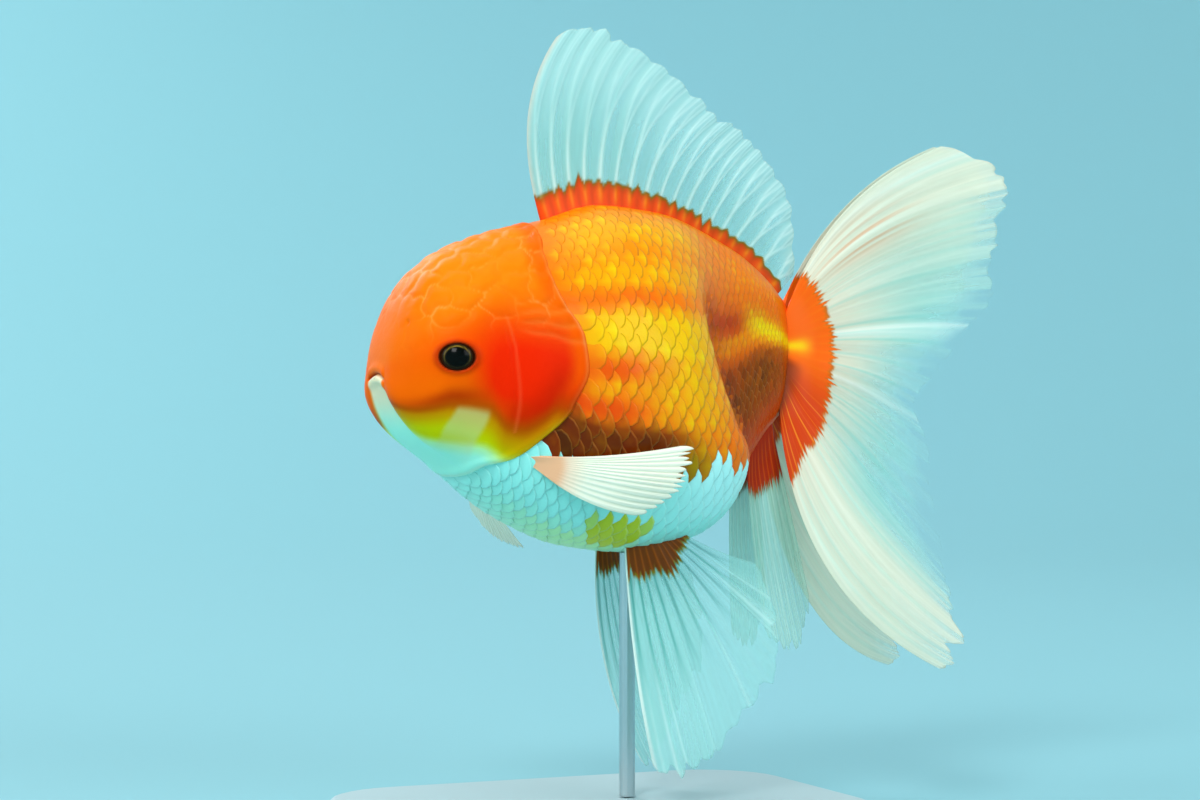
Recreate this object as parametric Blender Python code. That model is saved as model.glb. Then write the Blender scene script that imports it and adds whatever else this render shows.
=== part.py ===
"""A fancy goldfish of the oranda kind, swimming, held by a plain display stand.

Blender 4.5. The frame is in metres, +Z up, with the origin at the middle of the base's
underside. The head faces -Y and the fish's left flank faces +X. Lengths below are in
millimetres, and s is the distance from the snout along the bent spine.
"""

import math

import bpy
import numpy as np

MM = 0.001
CLEARANCE = 0.3  # between neighbouring solids

# Body
BODY_LENGTH = 98.0  # snout to the end of the tail stem
SNOUT_Y = -47.5
BEND_START = 36.0  # the spine is straight up to here, then bends evenly
BEND_ANGLE = math.radians(24.0)  # turn of the tail stem towards the fish's right
STEM_START = 77.0
STEM_END_ROUNDING = 1.2  # how far the stem's closed end bulges rearwards
HEAD_CORE = 30.0  # s of the point inside the body where the head's rear faces meet
AXIS_HEIGHT = 90.0  # snout tip above the floor

BACK = ((0, 90), (2, 101), (5, 107), (11, 113.5), (22, 118.5), (34, 121.5), (47, 125),
        (60, 124), (80, 117.5), (92, 110.5), (98, 106))
BELLY = ((0, 90), (1.5, 84.5), (5, 79), (13, 72.5), (26, 62.5), (39, 57), (52, 55.5),
         (64, 57), (73, 61.5), (80, 69), (88, 78), (98, 84.5))
WIDEST = ((0, 90), (20, 88), (40, 82), (62, 80), (74, 84), (84, 91), (98, 95))
# half the width on the flank, and on the upper back, which narrows more gently
HALF_WIDTH = ((0, 0), (2, 10), (5, 13.5), (11, 17), (22, 20), (34, 22), (47, 24),
              (58, 23.8), (65, 22.4), (70, 20), (73, 14.5), (76, 10.4), (81, 8.4), (88, 6.8),
              (98, 4.5))
BACK_WIDTH = ((0, 0), (2, 10), (5, 13.5), (11, 17), (22, 20), (34, 22), (47, 23.5),
              (55, 22.3), (62, 19.2), (70, 14.3), (78, 10), (88, 6.8), (98, 4.5))
# the flank's bulge ends along a slanting line, this much further forward high on the flank
BULGE_LEAN = 9.0
# superellipse exponents of the section's two halves
BACK_BOXINESS = ((0, 2.5), (20, 2.4), (45, 2.1), (62, 1.9), (74, 1.65), (84, 1.8), (98, 2))
BELLY_BOXINESS = ((0, 2.5), (20, 2.4), (45, 2.1), (98, 2))
# the rear edge of the gill covers: height on the section from -1, belly, to 1, back
GILL_EDGE = ((-1, 15), (-0.75, 17), (-0.5, 22), (-0.26, 26.5), (0, 32), (0.2, 35.5),
             (0.35, 35), (0.55, 31), (0.78, 29.5), (1, 31))

# Face: two soft cheeks stand forward of the chin, which lies between them as a band that
# widens from the mouth down to the throat
CHEEK_RISE = 1.0
CHEEK_HEIGHT = 85.0
CHIN_SINK = 1.0
CHIN_HALF_WIDTH = 3.5  # at the mouth
CHIN_WIDENING = 0.28  # per mm further down
FACE_DEPTH = 20.0  # the relief fades out this far behind the snout

# Eyes
EYE_RADIUS = 5.0
EYE_S = 10.5
EYE_ANGLE = math.radians(8.5)  # above the widest level
EYE_PROUD = 1.0  # how far the ball stands out of the cheek

# Fins
ROOT_THICKNESS = 1.1
TIP_THICKNESS = 0.6

# Stand
BASE_LENGTH = 100.0
BASE_WIDTH = 72.0
BASE_HEIGHT = 6.0
BASE_EDGE = 1.2  # radius of its upper edge
BASE_CORNER = 18.0  # radius of its corners in plan
ROD_RADIUS = 1.6
ROD_S = 54.0  # where the rod enters the belly
ROD_RUN_IN = 3.0  # the rod is drawn this far into the belly, then trimmed

# How finely the surfaces are divided
SECTION_SIDES = 32
SMALLEST_RING = 0.06  # the first ring at the snout, as a share of the way along
HEAD_RINGS = 15
TRUNK_RINGS = 16
STEM_RINGS = 8
ROD_SIDES = 16

# Colours, linear
ORANGE = (0.95, 0.25, 0.02)
GOLD = (0.95, 0.36, 0.02)
FIN_WHITE = (0.80, 0.83, 0.74)
EYE_BLACK = (0.01, 0.01, 0.01)
STAND_GREY = (0.55, 0.57, 0.58)
ROUGHNESS = 0.45


def smooth_curve(stations, root=False):
    """A cubic curve through (position, value) pairs that never overshoots. With root set it
    is worked in the square root of the position, which makes a pointed end round."""
    x, y = np.array(stations, float).T
    warp = np.sqrt if root else np.asarray
    x = warp(x)
    run, rise = np.diff(x), np.diff(y)
    slope = rise / run
    tangent = np.zeros(len(x))
    tangent[0], tangent[-1] = slope[0], slope[-1]
    before, after = slope[:-1], slope[1:]
    weight_a, weight_b = 2 * run[1:] + run[:-1], run[1:] + 2 * run[:-1]
    with np.errstate(divide="ignore", invalid="ignore"):
        mean = (weight_a + weight_b) / (weight_a / before + weight_b / after)
    tangent[1:-1] = np.where(before * after > 0, mean, 0)

    def curve(at):
        at = np.clip(warp(np.asarray(at, float)), x[0], x[-1])
        i = np.clip(np.searchsorted(x, at, side="right") - 1, 0, len(run) - 1)
        t = (at - x[i]) / run[i]
        return (y[i] * (1 + 2 * t) * (1 - t) ** 2 + run[i] * tangent[i] * t * (1 - t) ** 2
                + y[i + 1] * t * t * (3 - 2 * t) + run[i] * tangent[i + 1] * t * t * (t - 1))

    return curve


back = smooth_curve(BACK, root=True)
belly = smooth_curve(BELLY, root=True)
widest = smooth_curve(WIDEST)
half_width = smooth_curve(HALF_WIDTH, root=True)
back_width = smooth_curve(BACK_WIDTH, root=True)
back_boxiness = smooth_curve(BACK_BOXINESS)
belly_boxiness = smooth_curve(BELLY_BOXINESS)
gill_edge = smooth_curve(GILL_EDGE)


def spine(s):
    """Plan position (x, y) of the spine and its heading, the turn from +Y towards -X."""
    s = np.asarray(s, float)
    radius = (BODY_LENGTH - BEND_START) / BEND_ANGLE
    heading = np.maximum(s - BEND_START, 0) / radius
    x = -radius * (1 - np.cos(heading))
    y = SNOUT_Y + np.minimum(s, BEND_START) + radius * np.sin(heading)
    return x, y, heading


def along(s, out, up):
    """The point at distance s along the spine, out to the fish's left, and up above the floor."""
    x, y, heading = spine(s)
    return np.stack([x + out * np.cos(heading), y + out * np.sin(heading), up + 0 * x], -1)


def smoothstep(x, start, end):
    """0 before start, 1 after end, and 3t^2 - 2t^3 between them. start may be the larger."""
    share = np.clip((x - start) / (end - start), 0, 1)
    return share * share * (3 - 2 * share)


def face_relief(s, out, up):
    """How far the face stands out (or, if negative, in) at a point of the smooth head."""
    edge = CHIN_HALF_WIDTH + CHIN_WIDENING * np.maximum(AXIS_HEIGHT - up, 0)
    beyond = np.abs(out) - edge
    below_mouth = 1 / (1 + np.exp(up - AXIS_HEIGHT + 1))
    chin = below_mouth / (1 + np.exp(beyond / 0.5))
    cheek = np.exp(-((beyond - 3.2) / 3) ** 2 - ((up - CHEEK_HEIGHT) / 7) ** 2)
    return (CHEEK_RISE * cheek - CHIN_SINK * chin) * smoothstep(s, FACE_DEPTH, 0)


def width_at(s, rise):
    """Half the width at a height on the section, from -1 at the belly to 1 at the back."""
    lean = (BULGE_LEAN * smoothstep(rise, -0.45, 0.55) * smoothstep(s, 46, 62)
            * smoothstep(s, 98, 82))
    share = smoothstep(rise, 0.35, 0.8)
    return half_width(s + lean) * (1 - share) + back_width(s) * share


def body_point(s, angle, grow=0.0):
    """A point of the body's surface: a superellipse section whose upper and lower halves
    have their own heights. The angle runs from the left flank (0) over the back (90 degrees)."""
    power = 2 / np.where(np.sin(angle) > 0, back_boxiness(s), belly_boxiness(s))
    across = np.sign(np.cos(angle)) * np.abs(np.cos(angle)) ** power
    rise = np.sign(np.sin(angle)) * np.abs(np.sin(angle)) ** power
    level = widest(s)
    height = np.where(rise > 0, back(s) - level + grow, level - belly(s) + grow)
    out, up = (width_at(s, rise) + grow) * across, level + height * rise
    relief = face_relief(s, out, up)
    forward = np.clip(1 - s / FACE_DEPTH, 0, 1) ** 2
    point = along(s, out + relief * across * (1 - forward), up + relief * rise * (1 - forward))
    point[..., 1] -= relief * forward
    return point


def material(name, colour):
    made = bpy.data.materials.new(name)
    made.use_nodes = True
    shader = made.node_tree.nodes["Principled BSDF"]
    shader.inputs["Base Color"].default_value = (*colour, 1)
    shader.inputs["Roughness"].default_value = ROUGHNESS
    return made


def add_mesh(name, points, faces, colour):
    mesh = bpy.data.meshes.new(name)
    mesh.from_pydata((np.asarray(points) * MM).tolist(), [], faces)
    mesh.validate()
    mesh.shade_smooth()
    obj = bpy.data.objects.new(name, mesh)
    bpy.context.scene.collection.objects.link(obj)
    obj.data.materials.append(material(name, colour))
    return obj


def closed_tube(name, rings, front, rear, colour):
    """Rings of points joined into a skin, with a fan of triangles from a point at each end."""
    count, sides = rings.shape[:2]
    points = np.vstack([rings.reshape(-1, 3), [front], [rear]])
    ring = np.arange(sides)
    following = (ring + 1) % sides
    faces = []
    for k in range(count - 1):
        a, b = k * sides, (k + 1) * sides
        faces += np.stack([a + following, a + ring, b + ring, b + following], 1).tolist()
    faces += np.stack([ring, following, np.full(sides, count * sides)], 1).tolist()
    last = (count - 1) * sides
    faces += np.stack([last + following, last + ring, np.full(sides, count * sides + 1)], 1).tolist()
    return add_mesh(name, points, faces, colour)


ANGLES = np.arange(SECTION_SIDES) * 2 * math.pi / SECTION_SIDES


def gill_ring():
    """The gill covers' rear edge as s for each angle of a section."""
    return gill_edge(np.sin(ANGLES))


def core(s):
    """The point of the spine inside the body where a cut's faces meet."""
    return along(s, 0.0, widest(s))


def make_head():
    share = np.linspace(SMALLEST_RING, 1, HEAD_RINGS)[:, None]
    s = gill_ring()[None] * share ** 2
    return closed_tube("head", body_point(s, ANGLES[None]), along(0.0, 0.0, AXIS_HEIGHT),
                       core(HEAD_CORE), ORANGE)


def make_trunk():
    # the rings crowd towards the rear, where the bulge ends
    share = 1 - (1 - np.linspace(0, 1, TRUNK_RINGS)[:, None]) ** 1.4
    start = gill_ring()[None] + CLEARANCE
    s = start + (STEM_START - start) * share
    return closed_tube("trunk", body_point(s, ANGLES[None]), core(HEAD_CORE + CLEARANCE),
                       core(STEM_START), GOLD)


def make_tail_stem():
    s = np.linspace(STEM_START + CLEARANCE, BODY_LENGTH, STEM_RINGS)[:, None]
    return closed_tube("tail_stem", body_point(s, ANGLES[None]),
                       core(STEM_START + CLEARANCE), core(BODY_LENGTH + STEM_END_ROUNDING), GOLD)


def hidden(cutter):
    cutter.hide_render = True
    cutter.display_type = "WIRE"
    return cutter


def make_clearance_body():
    """The whole body grown by the clearance: what trims the roots of fins and rod."""
    share = np.linspace(SMALLEST_RING, 1, HEAD_RINGS + TRUNK_RINGS + STEM_RINGS)[:, None]
    s = BODY_LENGTH * share ** 1.5 + 0 * ANGLES[None]
    rings = body_point(s, ANGLES[None], CLEARANCE)
    cutter = closed_tube("cutter_body", rings, along(-CLEARANCE, 0.0, AXIS_HEIGHT),
                         core(BODY_LENGTH + STEM_END_ROUNDING + CLEARANCE), ORANGE)
    return hidden(cutter)


def subtract(obj, cutter):
    cut = obj.modifiers.new("cut_" + cutter.name, "BOOLEAN")
    cut.operation = "DIFFERENCE"
    cut.object = cutter


def ball(name, centre, axis, radius, colour, segments=18, rings=9):
    """A sphere whose pole looks along the axis."""
    axis = np.asarray(axis, float) / np.linalg.norm(axis)
    side = np.cross(axis, (0, 0, 1))
    side /= np.linalg.norm(side)
    other = np.cross(side, axis)
    tilt = np.linspace(0, math.pi, rings + 2)[1:-1]
    turn = np.arange(segments) * 2 * math.pi / segments
    ring = np.cos(turn)[:, None] * side - np.sin(turn)[:, None] * other
    rows = [centre + radius * (math.cos(t) * axis + math.sin(t) * ring) for t in tilt]
    return closed_tube(name, np.array(rows), centre + radius * axis, centre - radius * axis, colour)


def eye_place(side):
    """Centre of an eyeball and the direction in which it looks. side is 1 on the left."""
    angle = EYE_ANGLE if side > 0 else math.pi - EYE_ANGLE
    here = body_point(EYE_S, angle)
    fore = body_point(EYE_S + 1.0, angle) - body_point(EYE_S - 1.0, angle)
    over = body_point(EYE_S, angle + 0.05) - body_point(EYE_S, angle - 0.05)
    normal = np.cross(fore, over)
    normal *= -1 / np.linalg.norm(normal)
    if normal[0] * side < 0:
        normal = -normal
    return here - normal * (EYE_RADIUS - EYE_PROUD), normal


def make_eyes(head):
    for label, side in (("left", 1), ("right", -1)):
        centre, look = eye_place(side)
        ball("eye_" + label, centre, look, EYE_RADIUS, EYE_BLACK)
        socket = hidden(ball("cutter_socket_" + label, centre, look,
                             EYE_RADIUS + CLEARANCE, ORANGE))
        subtract(head, socket)


def fan(rays, across, out):
    """Points of a fin: each ray is a curve with one bend, from its root past a handle to its
    tip. rays lists (share across the fin, root, handle, tip) for a few key rays."""
    shares = [ray[0] for ray in rays]
    a = np.linspace(0, 1, across)
    r = np.linspace(0, 1, out)[None, :, None]
    knots = []
    for k in (1, 2, 3):
        curves = [smooth_curve([(q, ray[k][axis]) for q, ray in zip(shares, rays)])
                  for axis in range(3)]
        knots.append(np.stack([curve(a) for curve in curves], -1)[:, None])
    root, handle, tip = knots
    return root * (1 - r) ** 2 + 2 * handle * r * (1 - r) + tip * r * r


def plate(name, centre):
    """A closed plate round a grid of centre points, thinner towards the tips."""
    rows, columns = centre.shape[:2]
    normal = np.cross(np.gradient(centre, axis=0), np.gradient(centre, axis=1))
    normal /= np.linalg.norm(normal, axis=-1, keepdims=True)
    half = np.linspace(ROOT_THICKNESS, TIP_THICKNESS, columns)[None, :, None] / 2
    points = np.vstack([(centre + normal * half).reshape(-1, 3),
                        (centre - normal * half).reshape(-1, 3)])
    index = np.arange(rows * columns).reshape(rows, columns)
    offset = rows * columns
    under = index + offset
    a, b, c, d = index[:-1, :-1], index[1:, :-1], index[1:, 1:], index[:-1, 1:]
    faces = np.stack([a, b, c, d], -1).reshape(-1, 4).tolist()
    faces += np.stack([under[:-1, 1:], under[1:, 1:], under[1:, :-1], under[:-1, :-1]],
                      -1).reshape(-1, 4).tolist()
    rim = np.concatenate([index[:, 0], index[-1, 1:], index[-2::-1, -1], index[0, -2:0:-1]])
    following = np.roll(rim, -1)
    faces += np.stack([following, rim, rim + offset, following + offset], 1).tolist()
    return add_mesh(name, points, faces, FIN_WHITE)


# Key rays of the fins, each (share across the fin, root, handle, tip). Those of the dorsal
# are (s, out, height).
DORSAL = (
    (0.00, (35.5, 0, 119), (26.5, 0, 143), (38.5, 0.5, 159)),
    (0.10, (40.5, 0, 121), (34, 0, 146), (46, 1.0, 160)),
    (0.25, (48, 0, 123), (47, 0, 146), (57, 1.6, 156)),
    (0.45, (59, 0, 122), (61, 1, 138), (73.8, 1.0, 146)),
    (0.70, (73, 0, 118), (79, 0.5, 130), (91, -0.8, 137.5)),
    (0.88, (84, 0, 113.5), (92, 0, 121), (102, -1.5, 125)),
    (1.00, (93, 0, 107), (98, 0, 110), (103, -1.5, 113)),
)
# Pectorals and pelvics are in (x, y, z). Each side has its own, because the fish beats them
# one after the other.
PECTORAL_LEFT = (
    (0.0, (18.8, -21.5, 75.4), (25.0, -9.5, 74.4), (28.5, 6.5, 77.6)),
    (0.5, (18.4, -21.0, 74.0), (25.5, -9.3, 71.6), (29.0, 5.0, 70.4)),
    (1.0, (18.0, -21.0, 72.6), (22.5, -12.6, 64.4), (25.0, -1.9, 63.7)),
)
PECTORAL_RIGHT = (
    (0.0, (-18.8, -21.5, 75.4), (-30.0, -17.5, 68.5), (-39.0, -12.2, 62.4)),
    (0.5, (-18.4, -21.0, 74.0), (-29.0, -14.0, 65.0), (-37.0, -8.0, 57.0)),
    (1.0, (-18.0, -21.0, 72.6), (-25.0, -13.0, 63.0), (-31.0, -3.0, 54.5)),
)
PELVIC_LEFT = (
    (0.0, (6.0, 2.5, 59.5), (9.0, 2.5, 32.0), (13.0, 6.0, 12.5)),
    (0.2, (6.5, 4.5, 59.5), (10.5, 9.0, 32.0), (14.0, 13.5, 12.5)),
    (0.5, (7.0, 8.0, 59.5), (12.5, 17.5, 40.0), (15.0, 23.0, 22.0)),
    (0.8, (7.0, 10.0, 60.0), (12.5, 22.0, 49.0), (15.0, 32.5, 38.0)),
    (1.0, (7.0, 12.0, 61.0), (11.5, 21.0, 55.0), (13.5, 28.0, 53.5)),
)
PELVIC_RIGHT = (
    (0.0, (-7.5, 2.5, 59.5), (-10.0, 1.5, 30.0), (-13.0, 16.0, 10.0)),
    (0.2, (-7.5, 4.0, 59.5), (-11.5, 8.0, 30.0), (-14.0, 19.0, 12.0)),
    (0.5, (-7.5, 6.5, 59.5), (-13.5, 15.0, 40.0), (-16.0, 25.0, 22.0)),
    (0.8, (-7.5, 8.5, 60.0), (-13.5, 20.0, 50.0), (-16.5, 31.0, 37.0)),
    (1.0, (-7.5, 10.5, 61.0), (-12.5, 20.0, 56.0), (-15.0, 27.0, 51.0)),
)
# Anals: (s, out, height), the left one; the right one has out turned round
ANAL = (
    (0.0, (83, 2.2, 76), (83, 3.5, 54), (86, 5.0, 37)),
    (0.5, (86, 2.2, 79), (88, 4.0, 56), (93, 6.0, 34)),
    (1.0, (90, 2.2, 83), (94, 4.0, 64), (99, 6.0, 42)),
)

# Tail fins: roots are (s, out, height) on the stem. Handles and tips are (back, out, up) from
# the middle of the stem's end along the tail's own heading, because the fins trail back.
TAIL_HEADING = math.radians(-9.0)
TAIL_LEFT = (
    (0.00, (96.5, 0.9, 104), (9, 1.2, 36), (36, 2.0, 46)),
    (0.08, (96.5, 1.1, 103), (12, 2.4, 32), (47, 4.0, 40)),
    (0.20, (96.5, 1.4, 101), (18, 4.0, 21), (45.5, 6.5, 25)),
    (0.32, (96.5, 1.7, 99), (20, 6.0, 10), (41, 8.0, 10)),
    (0.42, (96.5, 2.0, 97), (17, 7.0, 2), (31.5, 8.0, -2.5)),
    (0.50, (96.0, 2.2, 95), (13, 8.0, -3), (25.5, 8.0, -10)),
    (0.60, (95.0, 2.6, 93), (13, 8.5, -10), (30, 8.0, -24)),
    (0.70, (94.0, 3.0, 91), (12, 10.0, -20), (30.5, 10.0, -41)),
    (0.80, (93.0, 3.3, 89), (8.5, 14.5, -30), (31, 17.0, -52)),
    (0.90, (92.2, 3.4, 87), (2, 17.0, -42), (30, 22.0, -60)),
    (1.00, (91.5, 3.4, 85), (-4, 16.0, -51), (28, 23.0, -65.5)),
)
# the far half trails a little more than the near one
TAIL_RIGHT_LAST = (
    (0.90, (92.2, 3.4, 87), (8, 16.0, -50), (34, 21.0, -62)),
    (1.00, (91.5, 3.4, 85), (3, 15.0, -62), (33, 21.0, -68)),
)


def on_spine(rays, side=1):
    """Key rays given as (s, out, height). side -1 turns the outward parts to the right."""
    return [(share, *(along(s, side * out, up) for s, out, up in knots))
            for share, *knots in rays]


def on_tail(rays, side=1):
    """Key rays of a tail fin. side -1 turns the outward parts to the right."""
    end = core(BODY_LENGTH)
    rearward = np.array([-math.sin(TAIL_HEADING), math.cos(TAIL_HEADING), 0])
    leftward = np.array([math.cos(TAIL_HEADING), math.sin(TAIL_HEADING), 0])
    placed = []
    for share, (s, out, height), *free in rays:
        knots = [end + b * rearward + side * o * leftward + np.array([0, 0, u])
                 for b, o, u in free]
        placed.append((share, along(s, side * out, height), *knots))
    return placed


def make_fins(clearance_body):
    fins = (
        ("dorsal_fin", fan(on_spine(DORSAL), 24, 8)),
        ("pectoral_fin_left", fan(PECTORAL_LEFT, 9, 7)),
        ("pectoral_fin_right", fan(PECTORAL_RIGHT, 9, 7)),
        ("pelvic_fin_left", fan(PELVIC_LEFT, 11, 9)),
        ("pelvic_fin_right", fan(PELVIC_RIGHT, 11, 9)),
        ("anal_fin_left", fan(on_spine(ANAL), 7, 8)),
        ("anal_fin_right", fan(on_spine(ANAL, -1), 7, 8)),
        ("tail_fin_left", fan(on_tail(TAIL_LEFT), 24, 12)),
        ("tail_fin_right", fan(on_tail(TAIL_LEFT[:-2] + TAIL_RIGHT_LAST, -1), 24, 12)),
    )
    for name, centre in fins:
        subtract(plate(name, centre), clearance_body)


def rounded_slab(name, length, width, height, edge, corner, colour):
    """A slab with round corners in plan and a rounded upper edge, standing on the floor."""
    quarter = np.linspace(0, math.pi / 2, 9)
    centres = ((1, 1), (-1, 1), (-1, -1), (1, -1))
    outline = []
    for turn, (sx, sy) in enumerate(centres):
        for angle in quarter + turn * math.pi / 2:
            outline.append((sx, sy, math.cos(angle), math.sin(angle)))
    sx, sy, cx, cy = np.array(outline[::-1]).T

    def ring(inset, up):
        x = sx * (width / 2 - corner) + cx * (corner - inset)
        y = sy * (length / 2 - corner) + cy * (corner - inset)
        return np.stack([x, y, np.full(len(x), up)], -1)

    steps = np.linspace(0, math.pi / 2, 4)
    rings = [ring(0, 0)]
    rings += [ring(edge * (1 - math.cos(t)), height - edge + edge * math.sin(t)) for t in steps]
    rings = np.array(rings)
    return closed_tube(name, rings, np.array([0, 0, 0.0]), np.array([0, 0, height]), colour)


def make_stand(clearance_body):
    rounded_slab("stand_base", BASE_LENGTH, BASE_WIDTH, BASE_HEIGHT, BASE_EDGE, BASE_CORNER,
                 STAND_GREY)
    x, y, _ = spine(ROD_S)
    turn = np.arange(ROD_SIDES) * 2 * math.pi / ROD_SIDES
    ring = np.stack([x + ROD_RADIUS * np.cos(turn), y + ROD_RADIUS * np.sin(turn)], -1)
    low, high = BASE_HEIGHT + CLEARANCE, belly(ROD_S) + ROD_RUN_IN
    rings = np.array([np.column_stack([ring, np.full(ROD_SIDES, z)]) for z in (low, high)])
    rod = closed_tube("stand_rod", rings, np.array([x, y, low]), np.array([x, y, high]),
                      STAND_GREY)
    subtract(rod, clearance_body)


def main():
    for obj in list(bpy.data.objects):
        bpy.data.objects.remove(obj)
    clearance_body = make_clearance_body()
    head = make_head()
    make_trunk()
    make_tail_stem()
    make_eyes(head)
    make_fins(clearance_body)
    make_stand(clearance_body)


main()
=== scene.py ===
# %% [markdown]
# # A fancy goldfish with scales and see-through fins
# This lesson dresses a goldfish of the oranda kind. The solid model underneath already has its
# true size and outline, so each step below adds what the solids leave out: soft skin, scales,
# finely rayed fins and wet eyes. Lengths are in millimetres until a mesh is made.

# %% Load the solid model
import math

import bpy
import numpy as np
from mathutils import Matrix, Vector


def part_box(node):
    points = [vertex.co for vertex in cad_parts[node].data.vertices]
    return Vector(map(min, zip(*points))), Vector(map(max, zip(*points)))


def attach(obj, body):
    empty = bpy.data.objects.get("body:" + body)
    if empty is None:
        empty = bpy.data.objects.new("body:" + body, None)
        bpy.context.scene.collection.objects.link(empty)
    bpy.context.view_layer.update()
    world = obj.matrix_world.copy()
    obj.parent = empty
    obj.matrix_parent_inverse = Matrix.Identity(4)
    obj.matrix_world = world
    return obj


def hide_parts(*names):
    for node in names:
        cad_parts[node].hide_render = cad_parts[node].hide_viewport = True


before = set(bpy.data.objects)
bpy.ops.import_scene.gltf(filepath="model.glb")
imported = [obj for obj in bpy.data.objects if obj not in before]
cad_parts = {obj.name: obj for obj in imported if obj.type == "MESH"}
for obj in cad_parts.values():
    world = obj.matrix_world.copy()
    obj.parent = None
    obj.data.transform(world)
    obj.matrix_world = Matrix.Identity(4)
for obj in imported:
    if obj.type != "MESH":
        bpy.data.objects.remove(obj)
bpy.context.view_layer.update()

# %% [markdown]
# ## Small tools
# A colour given here is an sRGB hex value, but Blender mixes light in linear numbers, so one
# function turns one into the other. Another puts whole arrays into a mesh at once, which is far
# quicker than adding vertices one by one. Every piece keeps its object at the origin.

# %% Colours
MM = 0.001


def srgb(*codes):
    """Hex codes as an array of sRGB values from 0 to 1."""
    values = [[int(code[k:k + 2], 16) / 255 for k in (1, 3, 5)] for code in codes]
    return np.array(values[0] if len(codes) == 1 else values)


def linear(colour):
    """sRGB to linear: ((c + 0.055) / 1.055) to the power 2.4, and c / 12.92 near black."""
    colour = np.clip(colour, 0, 1)
    return np.where(colour > 0.04045, ((colour + 0.055) / 1.055) ** 2.4, colour / 12.92)


def smoothstep(x, start, end):
    """0 before start, 1 after end, and 3t^2 - 2t^3 between them. start may be the larger."""
    t = np.clip((x - start) / (end - start), 0, 1)
    return t * t * (3 - 2 * t)


def bell(x, middle, width):
    """exp(-((x - middle) / width)^2): 1 in the middle, and nearly 0 two widths away."""
    return np.exp(-((x - middle) / width) ** 2)


def unit(vectors):
    """Each vector divided by its length."""
    return vectors / (np.linalg.norm(vectors, axis=-1, keepdims=True) + 1e-12)


def blend(base, colour, weight):
    """base + (colour - base) * weight. The colour is an array or a hex code."""
    colour = srgb(colour) if isinstance(colour, str) else colour
    return base + (colour - base) * np.asarray(weight)[..., None]


def layers(base, *coats):
    """Blends each (colour, weight) in turn over what lies below it."""
    for colour, weight in coats:
        base = blend(base, colour, weight)
    return base


def plain(code, places):
    """The same colour at each of the places."""
    return srgb(code) + np.zeros((*np.shape(places), 1))


def opaque(colours):
    """Linear colours with an alpha of 1."""
    return np.column_stack([colours, np.ones(len(colours))])


print("mid orange, linear:", linear(srgb("#fe8a10")).round(3))

# %% Meshes from arrays
MAP_EDGE = 0.02
MAP_SPAN = 1 - 2 * MAP_EDGE


def piece(name, points, faces, material, colours, places):
    """A mesh object from points in mm, groups of faces with as many corners each, a linear
    colour with alpha for each point, and a place on the flat map for each corner."""
    mesh = bpy.data.meshes.new(name)
    sizes = np.concatenate([np.full(len(group), group.shape[1]) for group in faces])
    corners = np.concatenate([group.ravel() for group in faces])
    mesh.vertices.add(len(points))
    mesh.vertices.foreach_set("co", (points * MM).astype(np.float32).ravel())
    mesh.loops.add(len(corners))
    mesh.loops.foreach_set("vertex_index", corners.astype(np.int32))
    mesh.polygons.add(len(sizes))
    mesh.polygons.foreach_set("loop_start", (np.cumsum(sizes) - sizes).astype(np.int32))
    mesh.update(calc_edges=True)
    mesh.shade_smooth()
    layer = mesh.color_attributes.new("markings", "FLOAT_COLOR", "POINT")
    layer.data.foreach_set("color", colours.astype(np.float32).ravel())
    layer = mesh.uv_layers.new(name="OFBake")
    layer.data.foreach_set("uv", places.astype(np.float32).ravel())
    made = bpy.data.objects.new(name, mesh)
    bpy.context.scene.collection.objects.link(made)
    mesh.materials.append(material)
    mesh.calc_loop_triangles()
    print(f"{name}: {len(mesh.loop_triangles)} triangles")
    return made


def quads(index):
    """The quads between neighbouring rows and columns of a grid of vertex numbers. They face
    the way of (step to the next row) x (step to the next column)."""
    return np.stack([index[:-1, :-1], index[1:, :-1], index[1:, 1:], index[:-1, 1:]],
                    -1).reshape(-1, 4)


def closed_tube(grid, first, last):
    """Points, faces and flat map of a tube whose rows of points are rings, closed by the points
    first and last. The map is the tube slit along one column and laid flat: u along it and v
    round it. The triangles at its two ends lie in two corners of the map."""
    rows, columns = grid.shape[:2]
    index = np.arange(rows * columns).reshape(rows, columns)
    ring = np.hstack([index, index[:, :1]])
    flat = quads(np.arange(ring.size).reshape(ring.shape))
    first_fan = np.stack([ring[0, :-1], ring[0, 1:], np.full(columns, rows * columns)], 1)
    last_fan = np.stack([ring[-1, 1:], ring[-1, :-1], np.full(columns, rows * columns + 1)], 1)
    opened = np.stack(np.meshgrid(np.linspace(0, 1, rows), np.linspace(0, 1, columns + 1),
                                  indexing="ij"), -1).reshape(-1, 2) * MAP_SPAN + MAP_EDGE
    corner = np.tile([[0.005, 0.005], [0.01, 0.005], [0.005, 0.01]], (columns, 1))
    return (np.vstack([grid.reshape(-1, 3), first[None], last[None]]),
            [ring.ravel()[flat], first_fan, last_fan],
            np.concatenate([opened[flat].reshape(-1, 2), corner, 1 - corner]))


# %% [markdown]
# ## Materials
# All the fish's finishes are Principled shaders. Their colours could be painted on an image,
# but here each point of a mesh stores its own colour, called "markings". So nothing has to be
# unwrapped, and a pattern stays in its place whichever way the fish is turned. Fine relief that
# is too small to model is a Bump node on a noise.

# %% Nodes and finishes


def add_node(material, kind, settings=None, links=None):
    """A node with its settings. links names an input and the (node, output) that feeds it."""
    node = material.node_tree.nodes.new(kind)
    for key, value in (settings or {}).items():
        if key in node.inputs:
            node.inputs[key].default_value = value
        else:
            setattr(node, key, value)
    for key, (source, output) in (links or {}).items():
        material.node_tree.links.new(source.outputs[output], node.inputs[key])
    return node


def wire(material, source, output, target, socket):
    """Feeds one node's output into another's input."""
    material.node_tree.links.new(source.outputs[output], target.inputs[socket])


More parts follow.
